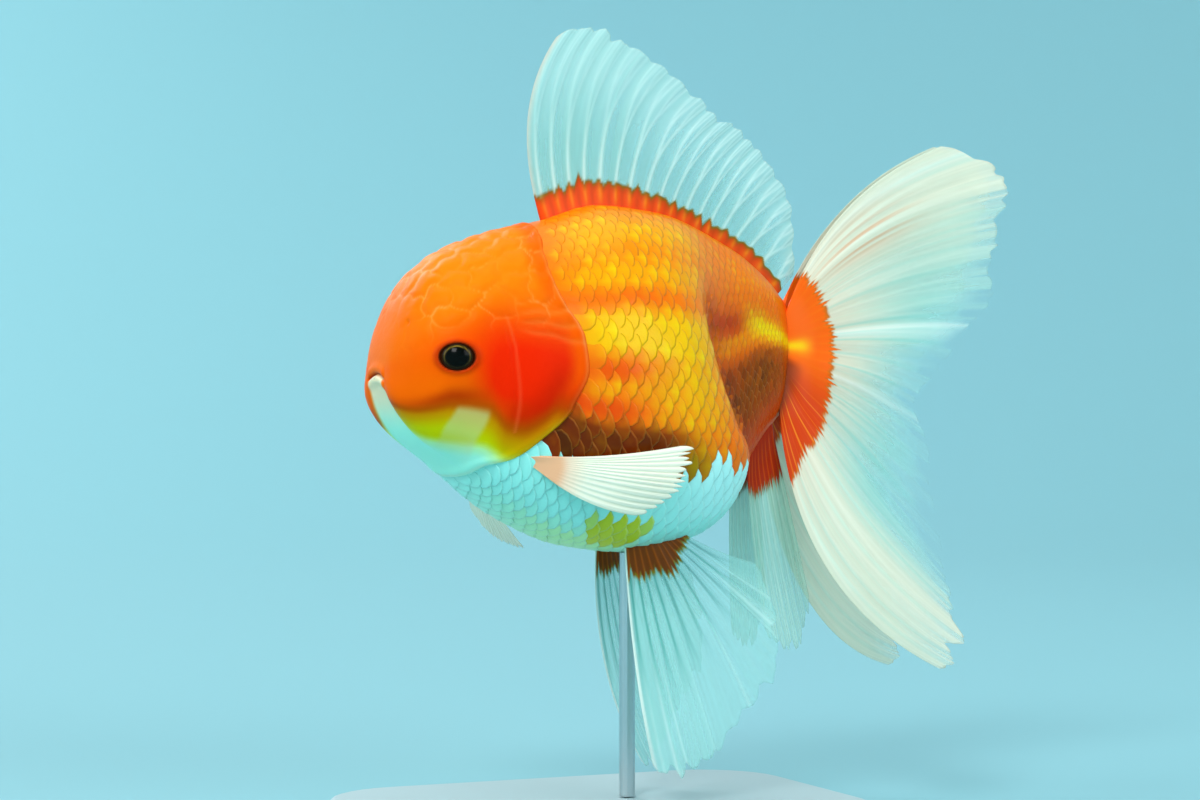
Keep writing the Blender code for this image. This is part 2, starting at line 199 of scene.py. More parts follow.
def finish(name, **values):
    """A new material and its Principled shader. In a value's name, _ stands for a space."""
    material = bpy.data.materials.new(name)
    material.use_nodes = True
    shader = material.node_tree.nodes["Principled BSDF"]
    for key, value in values.items():
        shader.inputs[key.replace("_", " ")].default_value = value
    return material, shader


def paint(code):
    """A hex code as a linear colour with alpha, for a shader's input."""
    return (*linear(srgb(code)), 1)


def living_finish(name, **values):
    """A finish coloured by the markings, and the node that reads them."""
    material, shader = finish(name, **values)
    seen = add_node(material, "ShaderNodeAttribute", {"attribute_name": "markings"})
    wire(material, seen, "Color", shader, "Base Color")
    return material, shader, seen


def relief(material, shader, size_mm, depth_mm):
    """Bump of a noise whose grains are size_mm across and depth_mm deep."""
    spot = add_node(material, "ShaderNodeTexCoord")
    noise = add_node(material, "ShaderNodeTexNoise", {"Scale": 1000 / size_mm, "Detail": 3.0},
                     {"Vector": (spot, "Object")})
    bump = add_node(material, "ShaderNodeBump", {"Distance": depth_mm * MM},
                    {"Height": (noise, "Fac")})
    wire(material, bump, "Normal", shader, "Normal")


print("a shader's orange:", [round(float(v), 2) for v in paint("#fe8a10")])

# %% Finishes of the fish
# Wet living skin over fat: soft, slightly see-through, with a broad warm gloss
skin_finish, shader, _ = living_finish(
    "wet_fish_skin", Roughness=0.4, IOR=1.33, Subsurface_Weight=0.15, Subsurface_Scale=0.0015,
    Subsurface_Radius=(1.0, 0.4, 0.2), Specular_IOR_Level=0.13, Specular_Tint=(1, 0.8, 0.35, 1))
relief(skin_finish, shader, 0.9, 0.05)

# Bony scales under clear wet skin: deep colour with small sharp glints
scale_finish, shader, _ = living_finish(
    "wet_scale_bone", Roughness=0.34, IOR=1.5, Specular_IOR_Level=0.2,
    Specular_Tint=(1, 0.8, 0.3, 1), Coat_Weight=0.08, Coat_Roughness=0.1)
relief(scale_finish, shader, 0.5, 0.03)

# Fin: a clear membrane between bony rays. Its own alpha says how solid each spot is
fin_finish, shader, seen = living_finish("clear_fin_membrane", Roughness=0.4, IOR=1.38,
                                         Specular_IOR_Level=0.2)
wire(fin_finish, seen, "Alpha", shader, "Alpha")
print("finishes:", [m.name for m in (skin_finish, scale_finish, fin_finish)])

# %% [markdown]
# ## The body's shape
# A fish's body is easiest to draw as a stack of sections along its spine. Curves give the
# height of back and belly, the level where the body is widest and half its width there, all
# against the distance from the snout. They are the same sizes that the solid model has. The
# tail end turns a little to the fish's right, because it is swimming.

# %% Curves along the body
BODY_LENGTH = 98.0
SNOUT_Y = -47.5
BEND_START = 36.0
BEND_RADIUS = (BODY_LENGTH - BEND_START) / math.radians(24)
AXIS_HEIGHT = 90.0


def smooth_curve(stations, root=False):
    """A cubic curve through (position, value) pairs that never overshoots: each inner slope is
    the weighted harmonic mean of its two neighbours. With root set it is worked in the square
    root of the position, which makes a pointed end round."""
    x, y = np.array(stations, float).T
    warp = np.sqrt if root else np.asarray
    x = warp(x)
    run, rise = np.diff(x), np.diff(y)
    slope = rise / run
    tangent = np.zeros(len(x))
    tangent[0], tangent[-1] = slope[0], slope[-1]
    before, after = slope[:-1], slope[1:]
    weight_a, weight_b = 2 * run[1:] + run[:-1], run[1:] + 2 * run[:-1]
    with np.errstate(divide="ignore", invalid="ignore"):
        mean = (weight_a + weight_b) / (weight_a / before + weight_b / after)
    tangent[1:-1] = np.where(before * after > 0, mean, 0)

    def curve(at):
        """The curve's value at each position."""
        at = np.clip(warp(np.asarray(at, float)), x[0], x[-1])
        i = np.clip(np.searchsorted(x, at, side="right") - 1, 0, len(run) - 1)
        t = (at - x[i]) / run[i]
        return (y[i] * (1 + 2 * t) * (1 - t) ** 2 + run[i] * tangent[i] * t * (1 - t) ** 2
                + y[i + 1] * t * t * (3 - 2 * t) + run[i] * tangent[i + 1] * t * t * (t - 1))

    return curve


back = smooth_curve(((0, 90), (2, 101), (5, 107), (11, 113.5), (22, 118.5), (34, 121.5),
                     (47, 125), (60, 124), (80, 117.5), (92, 110.5), (98, 106)), root=True)
belly = smooth_curve(((0, 90), (1.5, 84.5), (5, 79), (13, 72.5), (26, 62.5), (39, 57),
                      (52, 55.5), (64, 57), (73, 61.5), (80, 69), (88, 78), (98, 84.5)), root=True)
widest = smooth_curve(((0, 90), (20, 88), (40, 82), (62, 80), (74, 84), (84, 91), (98, 95)))
half_width = smooth_curve(((0, 0), (2, 10), (5, 13.5), (11, 17), (22, 20), (34, 22), (47, 24),
                           (58, 23.8), (65, 22.4), (70, 20), (73, 14.5), (76, 10.4), (81, 8.4),
                           (88, 6.8), (98, 4.5)), root=True)
# The upper back narrows more gently than the flank
back_width = smooth_curve(((0, 0), (2, 10), (5, 13.5), (11, 17), (22, 20), (34, 22), (47, 23.5),
                           (55, 22.3), (62, 19.2), (70, 14.3), (78, 10), (88, 6.8), (98, 4.5)),
                          root=True)
# How boxy each half of a section is: 2 is an ellipse, more is squarer
back_boxiness = smooth_curve(((0, 2.5), (20, 2.4), (45, 2.1), (62, 1.9), (74, 1.65), (84, 1.8),
                              (98, 2)))
belly_boxiness = smooth_curve(((0, 2.5), (20, 2.4), (45, 2.1), (98, 2)))
# Where the gill covers end, against the height on the section from -1, belly, to 1, back
gill_edge = smooth_curve(((-1, 15), (-0.75, 17), (-0.5, 22), (-0.26, 26.5), (0, 32), (0.2, 35.5),
                          (0.35, 35), (0.55, 31), (0.78, 29.5), (1, 31)))
print("deepest section:", round(float(back(50) - belly(50)), 1), "mm")

# %% The bent spine


def along(s, out, up):
    """The point s mm behind the snout on the bent spine, out to the fish's left, up above the
    floor. The spine is straight, then an arc of BEND_RADIUS."""
    turn = np.maximum(s - BEND_START, 0) / BEND_RADIUS
    x = -BEND_RADIUS * (1 - np.cos(turn))
    y = SNOUT_Y + np.minimum(s, BEND_START) + BEND_RADIUS * np.sin(turn)
    return np.stack([x + out * np.cos(turn), y + out * np.sin(turn), up + 0 * x], -1)


print("the stem's end is", -round(float(along(BODY_LENGTH, 0.0, 0.0)[0]), 1), "mm to the right")

# %% Width of the body


def chin_width(up):
    """Half the width of the chin, the band between the cheeks that widens below the mouth."""
    return 3.5 + 0.28 * np.maximum(AXIS_HEIGHT - up, 0)


def face_shape(s, out, up):
    """Two soft cheeks stand 1 mm out, and the chin between them is sunk by 1 mm."""
    beyond = np.abs(out) - chin_width(up)
    chin = 1 / ((1 + np.exp((up - AXIS_HEIGHT + 1) / 1.0)) * (1 + np.exp(beyond / 0.5)))
    return (bell(beyond, 3.2, 3) * bell(up, 85, 7) - chin) * smoothstep(s, 20, 0)


def width_at(s, rise):
    """Half the width for each height on the section. The flank's bulge ends along a slanting
    line, up to 9 mm further forward higher up, and the back follows its own gentler curve."""
    lean = 9 * smoothstep(rise, -0.45, 0.55) * smoothstep(s, 46, 62) * smoothstep(s, 98, 82)
    share = smoothstep(rise, 0.35, 0.8)
    return half_width(s + lean) * (1 - share) + back_width(s) * share


print("half the flank's width behind its bulge:", width_at(74.0, np.array([0.0, 0.5])).round(1))

# %% Points on the body and outward directions


def boxed(s, angle):
    """The two parts of a superellipse, out and up, from -1 to 1: cosine and sine to the power
    2 / boxiness, with their signs kept. The upper and the lower half have their own boxiness."""
    sine, cosine = np.sin(angle), np.cos(angle)
    power = 2 / np.where(sine > 0, back_boxiness(s), belly_boxiness(s))
    return np.sign(cosine) * np.abs(cosine) ** power, np.sign(sine) * np.abs(sine) ** power


def rise_at(s, angle):
    """Height on the section, from -1 at the belly to 1 at the back."""
    return boxed(s, angle)[1]


def body_point(s, angle):
    """A point of the body: a superellipse whose halves have their own heights. The angle runs
    from the left flank, 0, over the back, a quarter turn, to the right flank and the belly."""
    across, rise = boxed(s, angle)
    level = widest(s)
    out = width_at(s, rise) * across
    up = level + np.where(rise > 0, back(s) - level, level - belly(s)) * rise
    bulge = face_shape(s, out, up)
    forward = np.clip(1 - s / 20, 0, 1) ** 2
    point = along(s, out + bulge * across * (1 - forward), up + bulge * rise * (1 - forward))
    point[..., 1] -= bulge * forward
    return point


def body_normal(s, angle):
    """The outward direction: the cross product of the steps along and round the body."""
    fore = body_point(s + 0.3, angle) - body_point(np.maximum(s - 0.3, 0.01), angle)
    over = body_point(s, angle + 0.02) - body_point(s, angle - 0.02)
    return unit(np.cross(fore, over))


left_flank = body_normal(np.array([50.0]), np.array([0.0]))[0]
print("outwards on the left flank is", left_flank.round(2))

# %% [markdown]
# ## Markings
# The fish is orange with a white underside. Its colours could be painted by hand on an unrolled
# skin, but skin and scales must agree everywhere, so both ask one function for the colour at a
# place. The place is the distance s behind the snout and the rise, which is -1 at the belly,
# 0 where the body is widest and 1 at the back. Each patch is a soft bell or step in those two
# numbers, laid over the patches before it like a coat of thin paint.
# Some patches are painted light and shade: the dusky lower flank and the stem's brown are partly
# painted shade, the fold in front of the stem is painted shade, and the white underside is painted
# aqua for the water's light.

# %% Colours of the head
# On the head: where the orange turns olive, and where the yellow-green turns white
olive_edge = smooth_curve(((0, -0.95), (1.5, -0.8), (3.5, -0.62), (6.5, -0.42), (10, -0.28),
                           (16.4, -0.23), (20, -0.34), (22.8, -0.31), (26, -0.2), (29.5, -0.05),
                           (36, 0.0)))
white_edge = smooth_curve(((0, -0.9), (3, -0.93), (5.6, -0.89), (8.4, -0.81), (12.5, -0.7),
                           (16.7, -0.6), (20, -0.62), (23.2, -0.55), (27, -0.5), (36, -0.45)))


def head_colours(s, rise, low):
    """Orange on top and red over the gill cover. low is the height above the olive edge."""
    to_edge = gill_edge(np.sign(rise) * np.abs(rise) ** 1.1) - s
    gill_red = 1.3 * smoothstep(s, 11.5, 19.5) * bell(rise, 0.1, 0.31)
    return layers(
        plain("#ff7e06", s),
        # deeper orange down the sides, on the snout and behind the eye
        ("#ff6600", smoothstep(rise, 0.75, 0.2)),
        ("#ff5e00", 0.6 * smoothstep(s, 12, 2)),
        ("#fb4a00", bell(s, 13, 7) * bell(rise, 0.26, 0.2)),
        ("#fc2200", np.minimum(gill_red, 1)),
        # dark red and brown along the olive edge
        ("#d01a00", 0.8 * smoothstep(s, 17, 22) * bell(low, 0.1, 0.15)),
        ("#b83400", 0.95 * bell(s, 10, 7) * bell(low, 0.1, 0.13)),
        # the gill cover's own rear edge is plain orange
        ("#ff5c00", 0.8 * smoothstep(to_edge, 5, 1.5) * smoothstep(rise, -0.1, 0.25)))


def under_cheek(colour, s, rise, low):
    """Below the olive edge the head is olive, then yellow-green, then pearly white, which is
    painted aqua for the water's light as on the belly. A pale flap hangs in the middle of it."""
    from_white = rise - white_edge(s)
    # the pearly white is painted aqua for the water's light, as on the belly
    pale = blend(plain("#cdec96", s), "#aef4dc", smoothstep(from_white, 0.02, -0.16))
    from_flap = np.abs(s - 13.2 - 3.0 * low + 0.4 * np.sin(9 * rise + 1))
    flap = (smoothstep(from_flap, 3.6, 2.4) * smoothstep(low, 0.04, -0.08)
            * smoothstep(low, -0.7, -0.3))
    return layers(
        colour,
        ("#b04a00", 0.85 * smoothstep(low, 0.14, -0.02)),
        ("#cc8c00", smoothstep(low, 0.03, -0.13)),
        ("#d0c800", smoothstep(low, -0.08, -0.34)),
        (pale, smoothstep(from_white, 0.07, -0.05)),
        ("#c6cfa0", 0.6 * flap))


def mouth_line(out):
    """Height of the slit of the mouth: 91, less 0.06 out^2 towards the corners."""
    return 91.0 - 0.06 * out ** 2


def chin_share(s, out, up):
    """1 on the white lower lip and chin, the band between the two cheeks."""
    return (smoothstep(np.abs(out) - chin_width(up), 0.7, -0.3)
            * smoothstep(up - mouth_line(out), 0.15, -0.35) * smoothstep(s, 16, 8))


print("gill red:", (255 * head_colours(np.array([22.0]), np.array([0.1]), 0.5)).astype(int))

# %% Colours of trunk and stem


def trunk_colours(s, rise):
    """Gold bands over orange, and a dusky lower flank that is partly painted shade."""
    gold = (smoothstep(rise, 0.27, 0.36) * smoothstep(rise, 0.55, 0.46) * smoothstep(s, 29, 40)
            + 0.95 * bell(rise, 0.18, 0.17) * bell(s, 57, 9))
    dusky_and_shade = smoothstep(rise, 0.0, -0.09) * smoothstep(s, 58, 49) * smoothstep(s, 22, 26)
    return layers(
        plain("#ff7600", s),
        # two gold bands on the back, a red line and the broad gold band of the flank
        ("#ffa200", 0.95 * bell(rise, 0.88, 0.09) * smoothstep(s, 30, 40) * smoothstep(s, 72, 60)),
        ("#ffa000", 0.9 * bell(rise, 0.68, 0.07) * smoothstep(s, 30, 40) * smoothstep(s, 68, 58)),
        ("#fa5c00", 0.8 * bell(rise, 0.57, 0.04) * smoothstep(s, 60, 48)),
        ("#ffba00", 0.95 * np.minimum(gold, 1) * smoothstep(s, 70, 62)),
        # red, gold and red bars behind the gill cover
        ("#f44600", 0.8 * bell(rise, 0.235, 0.05) * smoothstep(s, 50, 42)),
        ("#ff9a00", 0.7 * bell(rise, 0.14, 0.035) * smoothstep(s, 30, 36) * smoothstep(s, 60, 50)),
        ("#ee3a00", 0.75 * bell(rise, 0.05, 0.05) * smoothstep(s, 50, 40)),
        # the dusky brown with lighter flecks, partly the flank's own colour and partly painted
        # shade where the lower flank faces down, and a few olive scales behind it
        ("#661c00", 0.95 * dusky_and_shade),
        ("#9c5a00", 0.5 * dusky_and_shade * smoothstep(np.sin(0.9 * s + 40 * rise), 0.2, 1)),
        ("#857000", 0.85 * bell(s, 55.5, 4.2) * bell(rise, -0.3, 0.16)),
        # orange where the flank turns over its rear edge
        ("#ff6a00", 0.8 * bell(s, 68, 5) * smoothstep(rise, 0.1, -0.2)),
        ("#ff6c00", 0.35 * bell(s, 64, 6) * smoothstep(rise, 0.6, 0.3)),
        *stem_coats(s, rise))


def stem_coats(s, rise):
    """The tail stem: a gold streak high up, brick red and dusky brown bands below it. The brown is
    partly painted shade, and the fold where the stem meets the flank is painted shade.
    """
    behind = s - 72 + 9 * smoothstep(rise, -0.45, 0.55)
    on_stem = smoothstep(behind, -1, 4)
    dark = on_stem * smoothstep(rise, 0.3, 0.18) * smoothstep(rise, -0.95, -0.6)
    flecks = 0.5 + 0.5 * np.sin(55 * rise + 0.35 * s) * np.sin(1.3 * s)
    streak = rise - 0.42 + 0.012 * (s - 84)
    return (
        ("#ff6400", 0.9 * on_stem * smoothstep(rise, 0.8, 0.6)),
        ("#c43200", 0.9 * on_stem * bell(rise, 0.48, 0.07) * smoothstep(s, 90, 76)),
        ("#f08200", 0.7 * on_stem * bell(rise, 0.36, 0.05)),
        # brown on the side, partly the stem's own colour and partly painted shade, redder below
        ("#a43400", 0.95 * dark),
        ("#6a2c00", 0.75 * on_stem * bell(rise, 0.0, 0.24) * smoothstep(s, 93, 84)),
        ("#c87400", 0.3 * dark * flecks * smoothstep(s, 72, 80)),
        ("#dc3e00", 0.75 * on_stem * smoothstep(rise, -0.2, -0.6)),
        # painted shade in the fold where the stem meets the flank
        ("#a02800", 0.6 * bell(behind, 2.5, 3) * smoothstep(rise, 0.7, 0.5)),
        ("#ff8600", 0.8 * bell(streak, 0, 0.16) * smoothstep(s, 74, 84)),
        ("#ffc800", bell(streak, 0, 0.085) * smoothstep(s, 77, 85)),
        ("#f85600", 0.9 * smoothstep(s, 93, 96) * (1 - bell(streak, 0, 0.1))
         * smoothstep(rise, 0.1, 0.3)))


print("gold band:", (255 * trunk_colours(np.array([50.0]), np.array([0.43]))).astype(int))

# %% Colours of the belly, and the whole fish
# Lowest rise of the orange coat behind the gills, against s
coat_edge = smooth_curve(((0, -0.4), (36, -0.38), (55, -0.42), (61, -0.33), (66, -0.37),
                          (70, -0.3), (74, -0.6), (80, -1.4), (98, -1.5)))


def belly_colours(s, rise, side):
    """White scales, partly painted aqua for the blue light of the water on them, yellow-green
    along the keel, and one green patch. The patch lies further back on the right side, where
    side is below 0."""
    patch = ((s - np.where(side > 0, 44.5, 52.0)) / 6.2) ** 2 + ((rise + 0.84) / 0.13) ** 2
    return layers(
        # painted light: the white of the scales tinted aqua as by the water's light
        plain("#a4f0e4", s),
        ("#c4f8f2", smoothstep(s, 46, 62) * smoothstep(rise, -0.9, -0.6)),
        ("#cdf09c", 0.8 * smoothstep(rise, -0.84, -0.95) * bell(s, 38, 13)),
        ("#ccc40a", 0.85 * smoothstep(patch, 1.3, 0.7)))


def markings(s, rise, out, up, head):
    """sRGB colours for places on the body. head is 1 on the head and 0 behind the gills."""
    under_coat = smoothstep(rise - coat_edge(s), 0.03, -0.03)
    trunk = blend(trunk_colours(s, rise), belly_colours(s, rise, out), under_coat)
    # on the right cheek the orange reaches further down
    low = rise - olive_edge(s) + 0.3 * smoothstep(out, 0, -2) * smoothstep(s, 10, 4)
    face = under_cheek(head_colours(s, rise, low), s, rise, low)
    # the white chin, its lower part painted aqua for the water's light as on the belly, cream
    # towards the lips
    chin = blend(plain("#aef4dc", s), "#efd9b4", smoothstep(up, 79, 88))
    return layers(trunk, (face, head), (chin, chin_share(s, out, up)))


print("belly:", (255 * belly_colours(np.array([50.0]), np.array([-0.7]), 1)).astype(int))

# %% [markdown]
# ## The skin
# One closed surface covers head, trunk and tail stem, so no seam can show. It could be sculpted,
# but a grid that follows the body's own curves is exact, and every point knows its place on the
# fish. Its rows run along the body and its columns round it. The rows crowd towards the snout
# and the columns towards the eyes, where the small forms are. One row lies exactly on the rear
# edge of the gill covers, so that their lip is crisp. Behind it the skin lies 0.6 mm deeper,
# which leaves room for the scales.

# %% Rows and columns of the skin
COAT_DEPTH = 0.6
HEAD_ROWS = 188
LIP_ROWS = 4
LIP_STEP = 0.12
TRUNK_ROWS = 92
COLUMNS = 300
SNOUT_CROWDING = 1.9
EYE_CROWDING = 1.3
EYE_S = 10.5
EYE_ANGLE = math.radians(8.5)

full_turn = np.linspace(0, 2 * math.pi, 4001)
from_left = np.angle(np.exp(1j * (full_turn - EYE_ANGLE)))
from_right = np.angle(np.exp(1j * (full_turn - math.pi + EYE_ANGLE)))
crowding = 1 + EYE_CROWDING * (bell(from_left, 0, 0.32) + bell(from_right, 0, 0.32))
columns_passed = np.concatenate([[0], np.cumsum((crowding[1:] + crowding[:-1]) / 2)])
skin_angle = np.interp(np.arange(COLUMNS) / COLUMNS * columns_passed[-1], columns_passed,
                       full_turn)[None]

rear = gill_edge(np.sin(skin_angle))
head_s = rear * (np.arange(1, HEAD_ROWS + 1) / HEAD_ROWS)[:, None] ** SNOUT_CROWDING
lip_s = rear + LIP_STEP * np.arange(1, LIP_ROWS + 1)[:, None]
trunk_share = np.linspace(0, 1, TRUNK_ROWS + 1)[1:, None]
trunk_s = lip_s[-1:] + (BODY_LENGTH - lip_s[-1:]) * trunk_share
skin_s = np.vstack([head_s, lip_s, trunk_s])
skin_angle = skin_angle + 0 * skin_s
base = body_point(skin_s, skin_angle)
rise = rise_at(skin_s, skin_angle)
out, up = base[..., 0], base[..., 2]
print("skin grid:", skin_s.shape, "rows and columns")

# %% [markdown]
# ### Relief of the head
# An oranda's crown is overgrown with soft cobbles, and the rest of the head has lips, nostrils,
# gill covers with fine wrinkles, and lids round the eyes. A displacement map could carry these
# forms, but here they are added to the points themselves, so they show in the outline too. Each
# is a height in millimetres along the surface's outward direction, and all of them add up.

# %% The crown's cobbles
SEED_GAP = 4.3
DOME_HEIGHT = 0.3
CREASE_DEPTH = 0.1


def cobbles(points, seeds):
    """Distances from each point to its nearest and next nearest seed. A cobble lies round each
    seed, and the crease between two is where the distances are equal."""
    near = np.full(len(points), 1e9)
    second = near.copy()
    for seed in seeds:
        away = np.linalg.norm(points - seed, axis=1)
        second = np.minimum(second, np.maximum(near, away))
        near = np.minimum(near, away)
    return near, second


rng = np.random.default_rng(7)
# many random places on the upper head, of which those far enough from the others are kept
tries = body_point(36 * rng.random(1500) ** 0.7, math.pi * (0.03 + 0.94 * rng.random(1500)))
seeds = tries[:1]
for seed in tries[1:]:
    if np.linalg.norm(seeds - seed, axis=1).min() > SEED_GAP:
        seeds = np.vstack([seeds, seed])
# waves in all three directions make the creases wander
crown = slice(0, HEAD_ROWS + LIP_ROWS)
wander = base[crown] + 0.5 * np.sin(base[crown][..., [1, 2, 0]] * 1.7 + (0, 1, 2))
near, second = cobbles(wander.reshape(-1, 3), seeds)
crease = (second - near).reshape(wander.shape[:2])
crown_share = smoothstep(rise[crown], 0.3, 0.62) * smoothstep(skin_s[crown], 0.6, 7.0)

on_head = np.concatenate([np.ones(HEAD_ROWS), np.linspace(1, 0, LIP_ROWS + 1)[1:],
                          np.zeros(TRUNK_ROWS)])[:, None]
height = -COAT_DEPTH * (1 - on_head) + 0 * skin_s
height[crown] += (DOME_HEIGHT * smoothstep(crease, 0.0, 3.4)
                  - CREASE_DEPTH * bell(crease, 0, 0.5)) * crown_share
widest_cobble = 2 * near.reshape(crease.shape)[crown_share > 0.5].max()
print(len(seeds), "cobbles, the widest on the crown", round(float(widest_cobble), 1), "mm")

# %% Mouth, gill covers and nostrils
MOUTH_DEPTH, UPPER_LIP, LOWER_LIP = 0.8, 0.35, 0.5
COVER_SWELL, CHEEK_CREASE, WRINKLE_DEPTH, COVER_LIP = 0.55, 0.18, 0.1, 0.2
NOSTRIL_DEPTH, NOSTRIL_FLAP = 0.4, 0.35

# Mouth: a slit between two soft lips
slit = mouth_line(out)
mouth_wide = smoothstep(np.abs(out), 4.9, 3.8) * smoothstep(skin_s, 5.5, 2.0)
height += mouth_wide * (UPPER_LIP * bell(up, slit + 1.2, 0.9)
                        + LOWER_LIP * bell(up, slit - 1.1, 0.9)
                        - MOUTH_DEPTH * bell(up, slit, 0.28))
# Gill cover: a low swelling, with the crease of the cheek in front of it
cover_front = 20.6 + 0.9 * bell(rise, -0.05, 0.25) - 6 * np.maximum(rise - 0.28, 0)
cheek_line = (bell(skin_s, cover_front, 0.55) * smoothstep(rise, -0.4, -0.15)
              * smoothstep(rise, 0.5, 0.3))
height += COVER_SWELL * bell(skin_s, 26, 6) * bell(rise, 0.05, 0.35) * on_head
height -= CHEEK_CREASE * cheek_line
# Fine wrinkles fan out over the top of the gill cover
wrinkles = 0 * rise
for start, slope in ((0.37, -0.002), (0.43, 0.0), (0.49, 0.003)):
    path = start + slope * (skin_s - 26) + 0.005 * np.sin(0.9 * skin_s + 20 * start)
    wrinkles += bell(rise, path, 0.014) * smoothstep(skin_s, 21, 25) * on_head
height -= WRINKLE_DEPTH * wrinkles
# The free edge of the gill cover is a lip that stands a little proud
to_edge = rear - skin_s
height += COVER_LIP * bell(to_edge, 0.9, 0.9) * on_head
# Nostrils: a pit under a small flap on each side of the snout
for side in (1, -1):
    pit = body_point(np.array(3.4), np.array(math.pi / 2 - side * math.radians(44)))
    from_pit = np.linalg.norm(base - pit, axis=-1)
    from_flap = np.linalg.norm(base - pit - (0, 1.3, 0.4), axis=-1)
    height += NOSTRIL_FLAP * bell(from_flap, 0, 1.3) - NOSTRIL_DEPTH * bell(from_pit, 0, 0.5)
    print("nostril at", pit.round(1))

# %% Eye sockets and lids
EYE_MOUND, LID_RIDGE, SOCKET_DEPTH = 0.55, 0.28, 2.6

eyes = {}
eye_distance = np.full(skin_s.shape, 1e9)
for label, angle in (("left", EYE_ANGLE), ("right", math.pi - EYE_ANGLE)):
    centre = 500 * (np.array(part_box("eye_" + label)[0]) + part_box("eye_" + label)[1])
    look = body_normal(np.array(EYE_S), np.array(angle))
    eyes[label] = (centre, look)
    outward = (base - centre) @ look
    aside = base - centre - outward[..., None] * look
    # the opening is a little wider than high
    away = np.sqrt(aside[..., 0] ** 2 + aside[..., 1] ** 2 + (1.32 * aside[..., 2]) ** 2)
    eye_distance = np.minimum(eye_distance, np.where(outward > 0, away, 1e9))
# a low mound, the lid's ridge on it and the socket inside
height += (EYE_MOUND * bell(eye_distance, 0, 7) + LID_RIDGE * bell(eye_distance, 3.9, 0.6)
           - SOCKET_DEPTH * smoothstep(eye_distance, 3.5, 2.6))
print("eyes look along", [look.round(2) for _, look in eyes.values()])

# %% [markdown]
# ### The skin's mesh and its colours
# The points move out by the relief, the rings are joined up, and a point at each end closes
# them. Then every point asks for its marking, and the fine lines that follow the relief are
# drawn over it: pale hairlines in the creases, a pale lip, and painted shade in the slit of the
# mouth and round the eye.

# %% The skin's mesh


def wedge(points, s):
    """The stem's end, squeezed to an upright wedge between the tail fins: each point moves
    towards the middle plane, by 0.6 of the way at the end."""
    middle = along(s, 0.0, points[..., 2])
    return points + (middle - points) * 0.6 * smoothstep(s, 89, 98.6)[..., None]


outwards = unit(np.cross(np.gradient(base, axis=0), np.roll(base, -1, 1) - np.roll(base, 1, 1)))
surface = wedge(base + outwards * height[..., None], skin_s)
snout = body_point(np.array(0.0), np.array(0.0)) - (0, 0.05, 0)
stem_end = along(np.array(BODY_LENGTH + 0.8), 0.0, widest(BODY_LENGTH))
skin_points, skin_faces, skin_map = closed_tube(surface, snout, stem_end)
print("skin:", len(skin_points), "points")

# %% The skin's colours
some = np.sin(base[crown] @ (0.31, 0.23, 0.4)) * np.sin(base[crown] @ (0.2, -0.37, 0.3))
colour = markings(skin_s, rise, out, up, on_head)
# pale hairlines in the creases, here and there
colour[crown] = blend(colour[crown], "#ffb27c", 0.45 * (0.5 + 0.5 * some) * crown_share
                      * bell(crease, 0, 0.35))
colour = layers(
    colour,
    # the pale lip, the wrinkles and the front edge of the gill cover
    ("#ffa070", bell(to_edge, 0.3, 0.35) * on_head * (0.12 + 0.4 * bell(rise, 0.5, 0.3))),
    ("#ffa468", 0.22 * np.minimum(wrinkles, 1)),
    ("#ff7a50", 0.3 * bell(skin_s, cover_front + 0.5, 0.3) * (cheek_line > 0.02)),
    # painted shade in the slit of the mouth
    ("#a03404", 0.8 * mouth_wide * bell(up, slit + 0.1, 0.25)),
    # painted shade round the eye: a dark rim under the lid that fades into the orange, and near
    # black inside the socket
    ("#b02404", 0.7 * bell(eye_distance, 3.6, 0.9)),
    ("#34140a", smoothstep(eye_distance, 3.65, 3.3)))
colours = np.vstack([linear(colour).reshape(-1, 3), linear(srgb("#b7b39a", "#f06a08"))])
skin = piece("skin", skin_points, skin_faces, skin_finish, opaque(colours), skin_map)
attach(skin, "root")
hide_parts("head", "trunk", "tail_stem")

# %% [markdown]
# ## The eyes
# A goldfish's eye is a hard, clear ball that stands a little out of the head. Seen from
# outside it is a large black pupil, a thin gold ring and a dark rim under the lid, which is
# painted shade. A ready-made sphere would do for the shape, but a ball of rings round the
# direction of sight lets the colour follow the distance from that axis. A thin clear coat gives
# the wet glint.

# %% Eyeballs
EYE_RADIUS = 5.0
SIGHT_RINGS = 56
SIGHT_SPOKES = 72
eye_finish, _, _ = living_finish("clear_wet_cornea", Roughness=0.2, IOR=1.38,
                                 Specular_IOR_Level=0.05, Coat_Weight=0.15, Coat_Roughness=0.04,
                                 Coat_IOR=1.34)


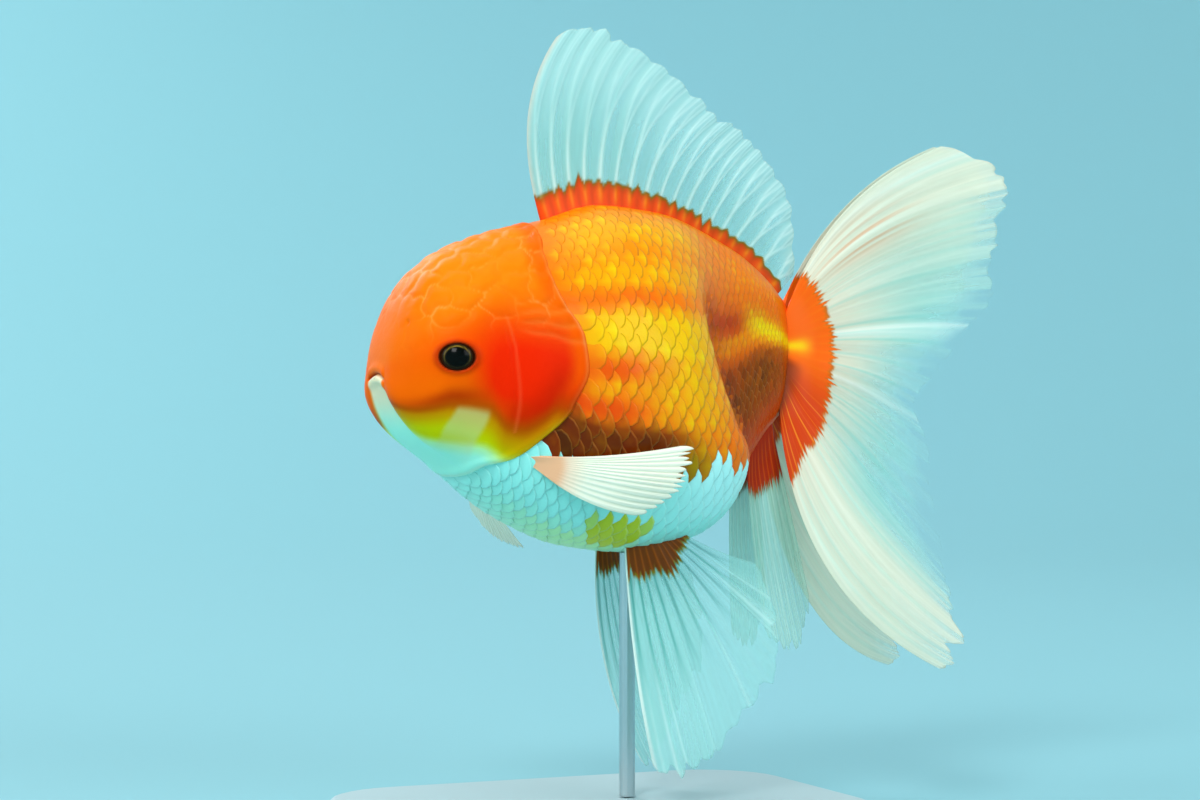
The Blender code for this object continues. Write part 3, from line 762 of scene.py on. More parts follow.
def eyeball(label):
    """Points centre + R (cos t * look + sin t * ring direction), t from 0 at the pupil."""
    centre, look = eyes[label]
    side = unit(np.cross(look, (0, 0, 1)))
    above = np.cross(side, look)
    # the rings crowd towards the pupil and run backwards, so that the faces point outwards
    t = (math.pi * np.linspace(0, 1, SIGHT_RINGS + 1)[1:-1] ** 1.3)[:, None]
    turn = (-2 * math.pi * np.arange(SIGHT_SPOKES) / SIGHT_SPOKES)[None]
    wide, high = np.sin(t) * np.cos(turn), np.sin(t) * np.sin(turn)
    ahead = np.cos(t) + 0 * turn
    ball = centre + EYE_RADIUS * (ahead[..., None] * look + wide[..., None] * side
                                  + high[..., None] * above)
    # the pupil is 4.6 mm wide and 3.8 mm high, the gold ring 0.3 mm broad
    away = EYE_RADIUS * np.sqrt(wide ** 2 + (1.22 * high) ** 2)
    away = np.where(ahead > 0, away, 9.0)
    colour = layers(plain("#050604", away),
                    ("#b0862c", bell(away, 2.5, 0.18) * np.clip(0.5 + 0.8 * high, 0, 1)),
                    # painted shade: dark beyond the gold ring, where the lid overhangs the eye
                    ("#341606", smoothstep(away, 2.65, 2.95)))
    colours = np.vstack([linear(colour).reshape(-1, 3), linear(srgb("#080a08", "#2a1408"))])
    points, faces, flat_map = closed_tube(ball, centre + EYE_RADIUS * look,
                                          centre - EYE_RADIUS * look)
    made = piece("eyeball_" + label, points, faces, eye_finish, opaque(colours), flat_map)
    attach(made, "root")
    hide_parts("eye_" + label)


for label in eyes:
    eyeball(label)

# %% [markdown]
# ## The scales
# Scales grow in slanting rows like roof tiles. Each is rooted in the skin in front and free at
# its rear edge, and covers half of the next two. Along the body they get smaller towards the
# tail in step with the girth, because a fish keeps its number of rows for life. So the rows
# follow lines of constant angle, the columns are spaced by the local girth, and every second
# row is shifted by half a step. All scales are one small disc, bent to the body and tilted.
# Instances on the skin would be lighter, but one mesh exports as it is and lets every disc bend.

# %% Places of the scales
ROW_GAP = 2.7
SCALE_PITCH = 2.7

ring_angle = np.linspace(0, 2 * math.pi, 721)
section_s = np.linspace(12, BODY_LENGTH, 173)
sections = body_point(section_s[:, None], ring_angle[None])
girth = np.linalg.norm(np.diff(sections, axis=1), axis=-1).sum(1)
slimmer = girth / girth.max()

# The rows are 0.9 mm further apart low on the flank
ring_gap = ROW_GAP + 0.9 * smoothstep(rise_at(50.0, ring_angle), 0.0, -0.35)
ring_step = np.linalg.norm(np.diff(body_point(50.0, ring_angle), axis=0), axis=1)
rows_passed = np.concatenate([[0], np.cumsum(ring_step / ring_gap[1:])])
rows_round = int(rows_passed[-1] // 2 * 2)
row_angle = np.interp((np.arange(rows_round) + 0.5) / rows_round * rows_passed[-1], rows_passed,
                      ring_angle)
# Along a row the steps shrink with the girth
pitch = SCALE_PITCH * slimmer
counted = np.concatenate([[0], np.cumsum(np.diff(section_s) * 2 / (pitch[1:] + pitch[:-1]))])
step, row = np.meshgrid(np.arange(int(counted[-1]) + 1), np.arange(rows_round), indexing="ij")
scale_s = np.interp(step + 0.5 * (row % 2) + rng.normal(0, 0.035, step.shape), counted, section_s)
scale_angle = row_angle[row] + rng.normal(0, 0.006, row.shape)
behind_gill = scale_s - gill_edge(np.sin(scale_angle)) > 0.1
kept = behind_gill & (scale_s < BODY_LENGTH - 1.5)
scale_s, scale_angle = scale_s[kept], scale_angle[kept]
print(len(scale_s), "scales in", rows_round, "rows")

# %% One scale, repeated and bent to the body
SPOKES = 12
spoke = np.arange(SPOKES) * 2 * math.pi / SPOKES
disc_ring = np.repeat([0.5, 0.86, 1.0], SPOKES)
disc_along = np.concatenate([[0], disc_ring * np.tile(np.cos(spoke), 3)])
disc_round = np.concatenate([[0], disc_ring * np.tile(np.sin(spoke), 3)])
RIM = slice(1 + 2 * SPOKES, 1 + 3 * SPOKES)

scale_slim = np.interp(scale_s, section_s, slimmer)[:, None]
scale_pitch = np.interp(scale_s, section_s, pitch)[:, None]
scale_gap = np.interp(scale_angle % (2 * math.pi), ring_angle, ring_gap)[:, None] * scale_slim
here = body_point(scale_s, scale_angle)
per_s = np.linalg.norm(body_point(scale_s + 0.5, scale_angle) - here, axis=1)[:, None] / 0.5
per_angle = np.linalg.norm(body_point(scale_s, scale_angle + 0.02) - here, axis=1)[:, None] / 0.02

# each disc is 1.1 steps long and 1.15 row gaps high to each side, so that it overlaps the next
reach_back = 1.1 * scale_pitch * disc_along[None]
reach_round = 1.15 * scale_gap * disc_round[None]
point_s = np.clip(scale_s[:, None] + reach_back / per_s, 10, BODY_LENGTH)
point_angle = scale_angle[:, None] + reach_round / per_angle
# the free edge stands up less on the back than low on the flank
scale_rise = rise_at(scale_s, scale_angle)
flatness = smoothstep(scale_rise, 0.0, 0.6)[:, None]
tilt = (0.12 + 0.38 * smoothstep(scale_rise, 0.7, -0.15))[:, None] * (0.4 + 0.6 * scale_slim)
# the root lies under the skin, the disc is domed, and each one is turned a little by chance
lift = (0.02 - tilt * (1 - disc_along[None]) / 2 - 0.1 * scale_slim * disc_round[None] ** 2
        + rng.normal(0, 0.02, (len(scale_s), 1)) * disc_along[None] * (1 - 0.5 * flatness)
        + rng.normal(0, 0.03, (len(scale_s), 1)) * disc_round[None] * (1 - 0.5 * flatness))
outward = body_normal(point_s, point_angle)
top = wedge(body_point(point_s, point_angle) + outward * lift[..., None], point_s)
rim_depth = 0.04 + 0.06 * scale_slim * (1 - 0.7 * flatness)
bottom = top[:, RIM] - outward[:, RIM] * rim_depth[..., None]
print("largest scale:", round(2 * float(reach_back.max()), 1), "mm long,",
      round(2 * float(reach_round.max()), 1), "mm high")

# %% [markdown]
# ### Colours of the scales
# Flat colours would make the flank look painted, and a colour of its own for each scale would
# break up the bands. So a scale takes half its colour from its own middle and half from the
# place of each point. Near its free edge it turns golden, partly with a painted glint, and a
# pale hairline runs round it. Where it comes out from under its neighbours it gets painted
# shade, and pale painted glints catch the flank's rear edge.

# %% Colours of the scales
shown_s = scale_s + 0.6 * scale_pitch[:, 0]
shown_rise = rise_at(shown_s, scale_angle)
own = trunk_colours(shown_s, shown_rise)
# darker patches are the more mottled
own = own * (1 + rng.normal(0, 1, (len(own), 1)) * (0.02 + 0.16 * smoothstep(own[:, :1], 0.8, 0.5)))
local = trunk_colours(point_s, rise_at(point_s, point_angle))
ahead, aside = disc_along[None], disc_round[None]
# painted shade: darker and redder where it comes out from under its neighbours
root_shade = smoothstep(ahead, 0.5, 0.1) * smoothstep(shown_rise, 0.4, 0.0)[:, None]
# golden near the free edge, partly a painted glint, on some scales more than on others
golden_glint = (smoothstep(local[..., 1], 0.3, 0.55) * bell(ahead, 0.7, 0.22) * bell(aside, 0, 0.4)
          * (0.15 + 0.8 * rng.random(len(scale_s))[:, None] ** 1.5))
# painted highlight: pale glints where the flank turns over its rear edge
painted_glint = bell(shown_s, 64.5, 3.5) * bell(shown_rise, 0.36, 0.2) * rng.random(len(scale_s))
orange = layers((own[:, None] + local) / 2 * (1 - (0.02, 0.14, 0.3) * root_shade[..., None]),
                ("#ffe600", golden_glint),
                ("#fff2cc", painted_glint[:, None] * smoothstep(ahead, 0.6, 0.95)))

# white scales below a ragged edge; each is white or orange as a whole
ragged = shown_rise + rng.normal(0, 0.035, len(scale_s)) * (shown_s > 40) * (shown_s < 72)
is_white = (ragged < coat_edge(shown_s))[:, None]
pearl = belly_colours(shown_s, shown_rise, here[:, 0])[:, None]
# painted shade: each white scale a little darker where it comes out from under its neighbours
pearl = pearl * (1 - 0.05 * smoothstep(ahead, 0.5, 0.0))[..., None]
scale_colour = np.where(is_white[..., None], pearl, orange)

# a pale hairline round the free edge, faint on the back; on the white scales it is partly a
# painted highlight
on_rim = np.zeros((1, len(disc_along)))
on_rim[:, RIM] = 1
hairline = np.where(is_white[..., None], srgb("#d6fcf6"), blend(orange, "#ffa838", 0.5))
strength = np.where(is_white, 0.35, 0.25 + 0.4 * smoothstep(shown_rise, 0.3, -0.1)[:, None])
scale_colour = blend(scale_colour, hairline, on_rim * strength)
all_colour = linear(np.concatenate([scale_colour, scale_colour[:, RIM]], axis=1))
print("white scales:", int(is_white.sum()))

# %% The two coats
disc_points = np.concatenate([top, bottom], axis=1)
per_scale = disc_points.shape[1]
loop = np.arange(SPOKES)
after = (loop + 1) % SPOKES
# the middle is a fan, then come two rings of quads, the rim and one face underneath
fan_faces = np.stack([np.zeros(SPOKES, int), 1 + loop, 1 + after], 1)
starts = 1 + SPOKES * np.arange(4)
ring_faces = np.concatenate([np.stack([a + loop, b + loop, b + after, a + after], 1)
                             for a, b in zip(starts[:-1], starts[1:])])
under_face = (starts[-1] + loop[::-1])[None]
# on the map a scale is a patch 0.003 across at its root's place on the skin laid flat
disc_map = np.stack([disc_along, disc_round], -1) * 0.0015
disc_map = np.concatenate([disc_map, disc_map[RIM]])
root_map = np.stack([(scale_s - 12) / (BODY_LENGTH - 12), scale_angle / (2 * math.pi) % 1],
                    -1) * MAP_SPAN + MAP_EDGE


def coat(name, chosen):
    """One mesh of the chosen scales. Each repeats the disc's faces with its own points."""
    start = per_scale * np.arange(len(chosen))[:, None, None]
    groups = [(start + faces[None]).reshape(-1, faces.shape[1])
              for faces in (fan_faces, ring_faces, under_face)]
    corners = np.concatenate([group.ravel() for group in groups])
    on_map = (root_map[chosen][:, None] + disc_map[None]).reshape(-1, 2)
    made = piece(name, disc_points[chosen].reshape(-1, 3), groups, scale_finish,
                 opaque(all_colour[chosen].reshape(-1, 3)), on_map[corners])
    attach(made, "root")


on_left = np.cos(scale_angle) > 0
coat("scales_left", np.flatnonzero(on_left))
coat("scales_right", np.flatnonzero(~on_left))

# %% [markdown]
# ## The fins
# A fin is a fan of bony rays in a clear membrane. A flat card with a picture of rays on it would
# be lighter, but it would catch no light on its ridges. So a key ray is a curve with one bend,
# from its root past a handle to its tip, and the rays between are read off smooth curves through
# the key ones. The sheet gets a grid with a dozen columns for each real ray. On it each ray is
# a ridge that splits in two and then in four towards the tip, the membrane sinks between, the
# free edge is scalloped, and the sheet folds a little from ray to ray.

# %% Fan of rays
FIRST_SPLIT = 0.32
SECOND_SPLIT = 0.6


def ray_curve(rays, q, r):
    """Root (1 - r)^2 + 2 handle r (1 - r) + tip r^2, for each share q across the fin and each
    share r of the way out."""
    shares = [ray[0] for ray in rays]
    root, handle, tip = (np.stack([smooth_curve([(share, ray[k][axis]) for share, ray in
                                                 zip(shares, rays)])(q) for axis in range(3)], -1)
                         for k in (1, 2, 3))
    r = r[..., None]
    return (root[:, None] * (1 - r) ** 2 + 2 * handle[:, None] * r * (1 - r)
            + tip[:, None] * r ** 2)


def streaks(q, count, seed):
    """Smooth seeded noise across a fin: random values at count places, read between them."""
    values = np.random.default_rng(seed).normal(0, 1, count + 1)
    return np.interp(q, np.linspace(0, 1, count + 1), values)[:, None]


def ray_cell(q, count, seed):
    """Where each column lies between two rays: 0 on a ray and 0.5 halfway to the next. Real
    rays are not quite evenly spaced, so each is moved by about a tenth of a step."""
    moved = np.random.default_rng(seed + 5).normal(0, 0.11, count + 1)
    moved[[0, -1]] = 0
    steps = q * count + np.interp(q * count, np.arange(count + 1), moved)
    return (steps % 1 - 0.5)[:, None]


def branching(cell, r):
    """Height from 0 to 1 of the ray's ridge, which splits at FIRST_SPLIT of the way out, and
    each branch again at SECOND_SPLIT."""
    apart = 0.21 * smoothstep(r, FIRST_SPLIT, FIRST_SPLIT + 0.45)
    finer = 0.105 * smoothstep(r, SECOND_SPLIT, SECOND_SPLIT + 0.35)
    width = 0.15 - 0.09 * smoothstep(r, 0.0, 0.8)
    ridge = 0 * r
    for outer in (-1, 1):
        for inner in (-1, 1):
            ridge = np.maximum(ridge, bell(cell, outer * apart + inner * finer, width))
    return ridge


print("the middle of a ray's ridge, before and after it splits:",
      branching(np.array([0.0, 0.0]), np.array([0.1, 1.0])).round(2))

# %% The sheet of a fin
MEMBRANE = 0.1


def closed_sheet(sheet, half, q):
    """Points, faces and flat map of a sheet moved out by half to each side and closed round its
    edge. On the map the two sides lie next to each other, and the edge is a thin frame."""
    index = np.arange(sheet[..., 0].size).reshape(sheet.shape[:2])
    front = quads(index)
    rim = np.concatenate([index[:, 0], index[-1, 1:], index[-2::-1, -1], index[0, -2:0:-1]])
    after = np.roll(rim, -1)
    rim_faces = np.stack([after, rim, rim + index.size, after + index.size], 1)
    flat = np.stack(np.meshgrid(q, np.linspace(0, 1, sheet.shape[1]), indexing="ij"),
                    -1).reshape(-1, 2)
    first = MAP_EDGE + flat * (MAP_SPAN - 0.5, MAP_SPAN)
    second = first + (0.5, 0)
    frame_line = first + (flat - 0.5) * 0.012
    edge = np.stack([first[after], first[rim], frame_line[rim], frame_line[after]], 1)
    on_map = [first[front], second[front[:, ::-1]], edge]
    return (np.concatenate([(sheet + half).reshape(-1, 3), (sheet - half).reshape(-1, 3)]),
            [front, front[:, ::-1] + index.size, rim_faces],
            np.concatenate([part.reshape(-1, 2) for part in on_map]))


def fin(name, solid, rays, count, look, seed, per_ray=12, rows=64, ray_height=0.2, flesh=1.0,
        fold=0.15, notch=0.03, ragged=0.02, wave=0.0, smooth_root=4.0):
    """A closed sheet over a fan of count rays, with per_ray columns for each, in place of a
    solid. look gives its colours and alpha. In mm: the height of the rays, the flesh at the
    root, the folds between rays, the wave of the whole sheet, and how far out the rays begin
    to show. notch and ragged are the scallops and the wear of the free edge, as shares of a
    ray's length."""
    q = np.linspace(0, 1, count * per_ray + 1)
    cell = ray_cell(q, count, seed)
    reach = (1 - notch * (2 * np.abs(cell)) ** 2 + ragged * streaks(q, count, seed)
             + 0.5 * ragged * streaks(q, 4 * count, seed + 1))
    # the first tenth lies hidden in the body
    way_out = np.linspace(-0.1, 1, rows + 1)
    r = way_out * np.where(way_out > 0, reach, 1)
    sheet = ray_curve(rays, q, r)
    normal = unit(np.cross(np.gradient(sheet, axis=0), np.gradient(sheet, axis=1)))
    waves = (np.sin(2 * math.pi * (1.7 * q[:, None] + 0.8 * r))
             + 0.6 * streaks(q, max(count // 2, 3), seed + 2))
    folds = smoothstep(r, 0.1, 0.6) * (fold * np.cos(2 * math.pi * cell) + wave * waves)
    sheet = sheet + normal * folds[..., None]

    # mm out from the root along the sheet
    step = np.linalg.norm(np.diff(sheet, axis=1), axis=-1)
    distance = np.concatenate([0 * step[:, :1], np.cumsum(step, axis=1)], axis=1)
    root = np.argmax(way_out >= 0)
    distance = distance - distance[:, root:root + 1]
    ridge = branching(cell, r) * smoothstep(distance, 0.5, smooth_root)
    thick = (MEMBRANE + ray_height * ridge * (1 - 0.65 * np.clip(r, 0, 1))
             + flesh * smoothstep(distance, 7, -1))
    # thinner towards the free edge and at the first and last ray
    from_side = np.minimum(q, 1 - q)[:, None] * count
    thick = (thick * (0.35 + 0.65 * smoothstep(r, 1.0, 0.93))
             * (0.5 + 0.5 * smoothstep(from_side, 0, 0.4)))

    colour, alpha = look(q[:, None] + 0 * r, r, distance, cell, ridge)
    colours = np.tile(np.column_stack([linear(colour).reshape(-1, 3), alpha.ravel()]), (2, 1))
    points, faces, on_map = closed_sheet(sheet, (thick / 2)[..., None] * normal, q)
    made = piece(name, points, faces, fin_finish, colours, on_map)
    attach(made, "root")
    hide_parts(solid)


print("membranes are", MEMBRANE, "mm thick")

# %% Coloured patches and key rays


def jagged(q, count, seed, tooth=1.0, noise=0.48):
    """How far a patch's edge runs out, in mm: pointed teeth of uneven length."""
    teeth = 1 - 2 * np.abs((q * count) % 1 - 0.5)
    return tooth * teeth + noise * streaks(q[:, 0], 2 * count, seed)


def patch_edge(colour, alpha, distance, limit, patch, rim_code="#75600a"):
    """Colour and alpha with a solid patch out to limit mm, which ends in a thin dusky line."""
    colour = layers(colour, (rim_code, smoothstep(distance, limit + 0.55, limit + 0.1)),
                    (patch, smoothstep(distance, limit + 0.05, limit - 0.7)))
    return colour, alpha + (1 - alpha) * smoothstep(distance, limit + 0.6, limit + 0.1)


def on_spine(rays, side=1):
    """Key rays given as (s, out, height). side -1 turns the outward parts to the right."""
    return [(share, *(along(np.array(float(s)), side * out, up) for s, out, up in knots))
            for share, *knots in rays]


print("a patch's edge:", jagged(np.linspace(0, 1, 5)[:, None], 4, 3)[:, 0].round(2))

# %% [markdown]
# ### Dorsal fin
# The dorsal stands like a sail on the back and rakes backwards. It has eighteen rays. A jagged
# orange band runs along its base, and above it the membrane is clear and the rays pale. The
# band's edge could be cut as a piece of its own, but on the living fin it is only a colour.

# %% Dorsal fin
DORSAL = (
    (0.00, (35.5, 0, 119), (26.5, 0, 143), (38.5, 0.5, 159)),
    (0.10, (40.5, 0, 121), (34, 0, 146), (46, 1.0, 160)),
    (0.25, (48, 0, 123), (47, 0, 146), (57, 1.6, 156)),
    (0.45, (59, 0, 122), (61, 1, 138), (73.8, 1.0, 146)),
    (0.70, (73, 0, 118), (79, 0.5, 130), (91, -0.8, 137.5)),
    (0.88, (84, 0, 113.5), (92, 0, 121), (102, -1.5, 125)),
    (1.00, (93, 0, 107), (98, 0, 110), (103, -1.5, 113)),
)


def dorsal_look(q, r, distance, cell, ridge):
    """Clear and pale, with the orange band along its base and a cream front edge."""
    fibre = streaks(q[:, 0], 110, 17)
    clear = 1 - 0.65 * smoothstep(q, 0.5, 0.15) * smoothstep(r, 0.2, 0.6)
    colour = layers(plain("#a0d2c6", q),
                    ("#c6e8e0", smoothstep(r, 0.25, 0.8)),
                    ("#f4fbf4", 0.7 * ridge * clear),
                    ("#f6dcc4", 0.8 * smoothstep(q, 0.02, 0.0)))
    alpha = (0.42 - 0.14 * smoothstep(q, 0.15, 0.5) + 0.12 * smoothstep(r, 0.4, 0.95)
             + 0.4 * ridge * clear * (1 - 0.6 * smoothstep(r, 0.3, 0.9)) + 0.05 * fibre)
    limit = 6.6 - 2.4 * smoothstep(q, 0.08, 0.6) + jagged(q, 27, 3, 0.9, 0.36)
    band = layers(plain("#f04800", q),
                  ("#ff8c10", (0.6 + 0.4 * q) * ridge),
                  ("#b83000", 0.3 * smoothstep(np.abs(cell), 0.25, 0.5)),
                  ("#b04000", 0.5 * smoothstep(limit - distance, 2.0, 0.4)))
    return patch_edge(colour, alpha, distance, limit, band, "#86640c")


fin("dorsal_fin_rays", "dorsal_fin", on_spine(DORSAL), 18, dorsal_look, 11, per_ray=14, rows=72,
    fold=0.14, ragged=0.016, flesh=1.4, ray_height=0.17)

# %% [markdown]
# ### Pectoral and pelvic fins
# The pectorals are small paddles behind the gills, cream and nearly solid, with plain rays that
# end in a scalloped edge. The pelvics hang below the belly. Only their brown base, their rays
# and the white spine in front show clearly. Each side has its own rays where the two fins are
# held differently, and the same look serves both.

# %% Pectoral fins
PECTORAL_LEFT = (
    (0.0, (18.8, -21.5, 75.4), (25.0, -9.5, 74.4), (28.5, 6.5, 77.6)),
    (0.5, (18.4, -21.0, 74.0), (25.5, -9.3, 71.6), (29.0, 5.0, 70.4)),
    (1.0, (18.0, -21.0, 72.6), (22.5, -12.6, 64.4), (25.0, -1.9, 63.7)),
)
PECTORAL_RIGHT = (
    (0.0, (-18.8, -21.5, 75.4), (-30.0, -17.5, 68.5), (-39.0, -12.2, 62.4)),
    (0.5, (-18.4, -21.0, 74.0), (-29.0, -14.0, 65.0), (-37.0, -8.0, 57.0)),
    (1.0, (-18.0, -21.0, 72.6), (-25.0, -13.0, 63.0), (-31.0, -3.0, 54.5)),
)


def pectoral_look(q, r, distance, cell, ridge):
    """Cream and nearly solid, and flushed with orange towards the root."""
    colour = layers(plain("#f4ead2", q),
                    ("#fff8ea", 0.4 * ridge),
                    ("#cfd0a4", 0.3 * smoothstep(r, 0.4, 1) * smoothstep(np.abs(cell), 0.3, 0.5)),
                    ("#ffd9bc", smoothstep(distance, 10, 5)),
                    ("#ffa674", 0.7 * smoothstep(distance, 6, 3.5)))
    return colour, 0.97 - 0.3 * smoothstep(r, 0.5, 1.0) * smoothstep(q, 0.1, 0.6) * (1 - ridge)


for label, rays in (("left", PECTORAL_LEFT), ("right", PECTORAL_RIGHT)):
    fin("pectoral_rays_" + label, "pectoral_fin_" + label, rays, 13, pectoral_look, 21, rows=48,
        fold=0.07, notch=0.06, ragged=0.012, flesh=0.9, ray_height=0.06, smooth_root=12)

# %% Pelvic fins
PELVIC_LEFT = (
    (0.0, (6.0, 2.5, 59.5), (9.0, 2.5, 32.0), (13.0, 6.0, 12.5)),
    (0.2, (6.5, 4.5, 59.5), (10.5, 9.0, 32.0), (14.0, 13.5, 12.5)),
    (0.5, (7.0, 8.0, 59.5), (12.5, 17.5, 40.0), (15.0, 23.0, 22.0)),
    (0.8, (7.0, 10.0, 60.0), (12.5, 22.0, 49.0), (15.0, 32.5, 38.0)),
    (1.0, (7.0, 12.0, 61.0), (11.5, 21.0, 55.0), (13.5, 28.0, 53.5)),
)
PELVIC_RIGHT = (
    (0.0, (-7.5, 2.5, 59.5), (-10.0, 1.5, 30.0), (-13.0, 16.0, 10.0)),
    (0.2, (-7.5, 4.0, 59.5), (-11.5, 8.0, 30.0), (-14.0, 19.0, 12.0)),
    (0.5, (-7.5, 6.5, 59.5), (-13.5, 15.0, 40.0), (-16.0, 25.0, 22.0)),
    (0.8, (-7.5, 8.5, 60.0), (-13.5, 20.0, 50.0), (-16.5, 31.0, 37.0)),
    (1.0, (-7.5, 10.5, 61.0), (-12.5, 20.0, 56.0), (-15.0, 27.0, 51.0)),
)


def pelvic_look(q, r, distance, cell, ridge):
    """Nearly clear, with blue-green rays, a brown patch at the root and a white spine."""
    inner_half = smoothstep(r, 0.75, 0.25)
    fibre = streaks(q[:, 0], 70, 5)
    spine = smoothstep(q, 0.03, 0.012)
    colour = layers(plain("#a8dcd4", q),
                    ("#3c9488", 0.8 * ridge * inner_half),
                    ("#e4f6f0", 0.6 * smoothstep(fibre, 0.3, 1.6) * smoothstep(r, 0.3, 0.8)),
                    ("#e9f0e6", spine))
    alpha = 0.3 + 0.22 * ridge * inner_half + 0.05 * fibre + 0.1 * smoothstep(q, 0.6, 0.2)
    alpha = np.maximum(alpha, 0.8 * spine * smoothstep(r, 1.05, 0.6))
    limit = 7.6 - 4.0 * smoothstep(q, 0.5, 1.0) + jagged(q, 17, 6, 1.1, 0.54)
    patch = blend(plain("#7c3600", q), "#b65000", 0.7 * ridge)
    patched, alpha = patch_edge(colour, alpha, distance, limit, patch, "#8a7a18")
    return blend(patched, colour, spine), alpha


for label, rays in (("left", PELVIC_LEFT), ("right", PELVIC_RIGHT)):
    fin("pelvic_rays_" + label, "pelvic_fin_" + label, rays, 11, pelvic_look, 31, fold=0.16,
        notch=0.04, ragged=0.025, flesh=1.2, ray_height=0.1)

# %% [markdown]
# ### Anal and tail fins
# Fancy goldfish have both of these in pairs. The two halves of the tail hang from the stem like
# a split skirt, each with an upper and a lower lobe. The flesh of the stem runs out onto them,
# orange with a jagged edge, and beyond it they turn cream and then clear. A cloth simulation
# could drape them, but the water holds them in curves that a few key rays give directly.

# %% Anal fins
ANAL = (
    (0.0, (83, 2.2, 76), (83, 3.5, 54), (86, 5.0, 37)),
    (0.5, (86, 2.2, 79), (88, 4.0, 56), (93, 6.0, 34)),
    (1.0, (90, 2.2, 83), (94, 4.0, 64), (99, 6.0, 42)),
)


def anal_look(q, r, distance, cell, ridge):
    """Clear, with a long brick-red patch at the root."""
    colour = blend(plain("#b4dcc8", q), "#e0eedc", 0.6 * ridge)
    alpha = 0.52 - 0.24 * smoothstep(r, 0.2, 1) + 0.12 * ridge
    patch = blend(plain("#b42600", q), "#e05200", 0.7 * ridge)
    return patch_edge(colour, alpha, distance, 8.5 + 3.5 * q + jagged(q, 20, 8, 1.4), patch)


for label, side in (("left", 1), ("right", -1)):
    fin("anal_rays_" + label, "anal_fin_" + label, on_spine(ANAL, side), 8, anal_look, 41,
        rows=48, flesh=1.6, fold=0.12, ray_height=0.1)

# %% Key rays of the tail
TAIL_HEADING = math.radians(-9.0)
TAIL_LEFT = (
    (0.00, (96.5, 0.9, 104), (9, 1.2, 36), (36, 2.0, 46)),
    (0.08, (96.5, 1.1, 103), (12, 2.4, 32), (47, 4.0, 40)),
    (0.20, (96.5, 1.4, 101), (18, 4.0, 21), (45.5, 6.5, 25)),
    (0.32, (96.5, 1.7, 99), (20, 6.0, 10), (41, 8.0, 10)),
    (0.42, (96.5, 2.0, 97), (17, 7.0, 2), (31.5, 8.0, -2.5)),
    (0.50, (96.0, 2.2, 95), (13, 8.0, -3), (25.5, 8.0, -10)),
    (0.60, (95.0, 2.6, 93), (13, 8.5, -10), (30, 8.0, -24)),
    (0.70, (94.0, 3.0, 91), (12, 10.0, -20), (30.5, 10.0, -41)),
    (0.80, (93.0, 3.3, 89), (8.5, 14.5, -30), (31, 17.0, -52)),
    (0.90, (92.2, 3.4, 87), (2, 17.0, -42), (30, 22.0, -60)),
    (1.00, (91.5, 3.4, 85), (-4, 16.0, -51), (28, 23.0, -65.5)),
)
TAIL_RIGHT_LAST = (
    (0.90, (92.2, 3.4, 87), (8, 16.0, -50), (34, 21.0, -62)),
    (1.00, (91.5, 3.4, 85), (3, 15.0, -62), (33, 21.0, -68)),
)


def on_tail(rays, side=1):
    """Roots are (s, out, height) on the stem. Handles and tips are (back, out, up) from the
    middle of the stem's end, along the tail's own heading. side -1 is the right half."""
    end = along(np.array(BODY_LENGTH), 0.0, widest(BODY_LENGTH))
    rearward = np.array([-math.sin(TAIL_HEADING), math.cos(TAIL_HEADING), 0])
    leftward = np.array([math.cos(TAIL_HEADING), math.sin(TAIL_HEADING), 0])
    placed = []
    for share, (s, out, height), *free in rays:
        knots = [end + b * rearward + side * o * leftward + np.array([0, 0, u])
                 for b, o, u in free]
        placed.append((share, along(np.array(s), side * out, height), *knots))
    return placed


print("tail heads", round(math.degrees(TAIL_HEADING)), "degrees off the middle")

# %% Tail fins


def tail_look(q, r, distance, cell, ridge):
    """Cream near the root and along the two leading edges, hazy and clear in the middle. The
    stem's orange, red and brown run out onto it."""
    cream = np.maximum(smoothstep(q, 0.38, 0.06), smoothstep(q, 0.72, 0.86))
    fibre = streaks(q[:, 0], 150, 13)
    broad = streaks(q[:, 0], 40, 19)
    colour = layers(
        plain("#f4e6cc", q),
        ("#aadcd0", smoothstep(distance, 10, 32) * (1 - 0.85 * cream)),
        ("#fff8ea", 0.2 * ridge * (1 - 0.4 * smoothstep(r, 0.4, 1))),
        # white, green and orange streaks along the rays
        ("#fffdf4", 0.6 * smoothstep(broad, 0.3, 1.5)),
        ("#8ed2c6", 0.45 * smoothstep(fibre, 0.2, 1.4) * (1 - 0.6 * cream)),
        ("#e49c74", 0.75 * smoothstep(fibre, 0.0, 1.0) * bell(q, 0.09, 0.06)
         * bell(distance, 24, 13)))
    alpha = (0.56 + 0.36 * cream - (0.4 - 0.15 * cream) * smoothstep(r, 0.35, 1.0) + 0.04 * ridge
             + 0.09 * broad + 0.05 * fibre)
    # the free edge frays away in places, but not at the leading spine
    frayed = (smoothstep(r, 0.8, 1.0) * smoothstep(fibre, -0.4, 0.8)
              * smoothstep(np.abs(q - 0.03), 0.0, 0.1))
    limit = (9.0 + 3.5 * smoothstep(q, 0.5, 0.8) + 3.0 * smoothstep(q, 0.86, 0.98)
             + jagged(q, 56, 9, 0.7))
    patch = layers(
        plain("#ff6200", q),
        ("#ff8200", 0.5 * ridge),
        ("#d43600", 0.85 * smoothstep(q, 0.5, 0.72)),
        ("#ff9420", 0.7 * smoothstep(fibre, 0.6, 1.4) * smoothstep(q, 0.62, 0.75)),
        ("#8a3000", 0.85 * smoothstep(q, 0.5, 0.6) * smoothstep(distance, 4.5, 0)),
        ("#ffc400", bell(q, 0.41, 0.055) * smoothstep(distance, 6, 2)))
    return patch_edge(colour, np.clip(alpha - 0.4 * frayed, 0, 1), distance, limit, patch,
                      "#c86a14")


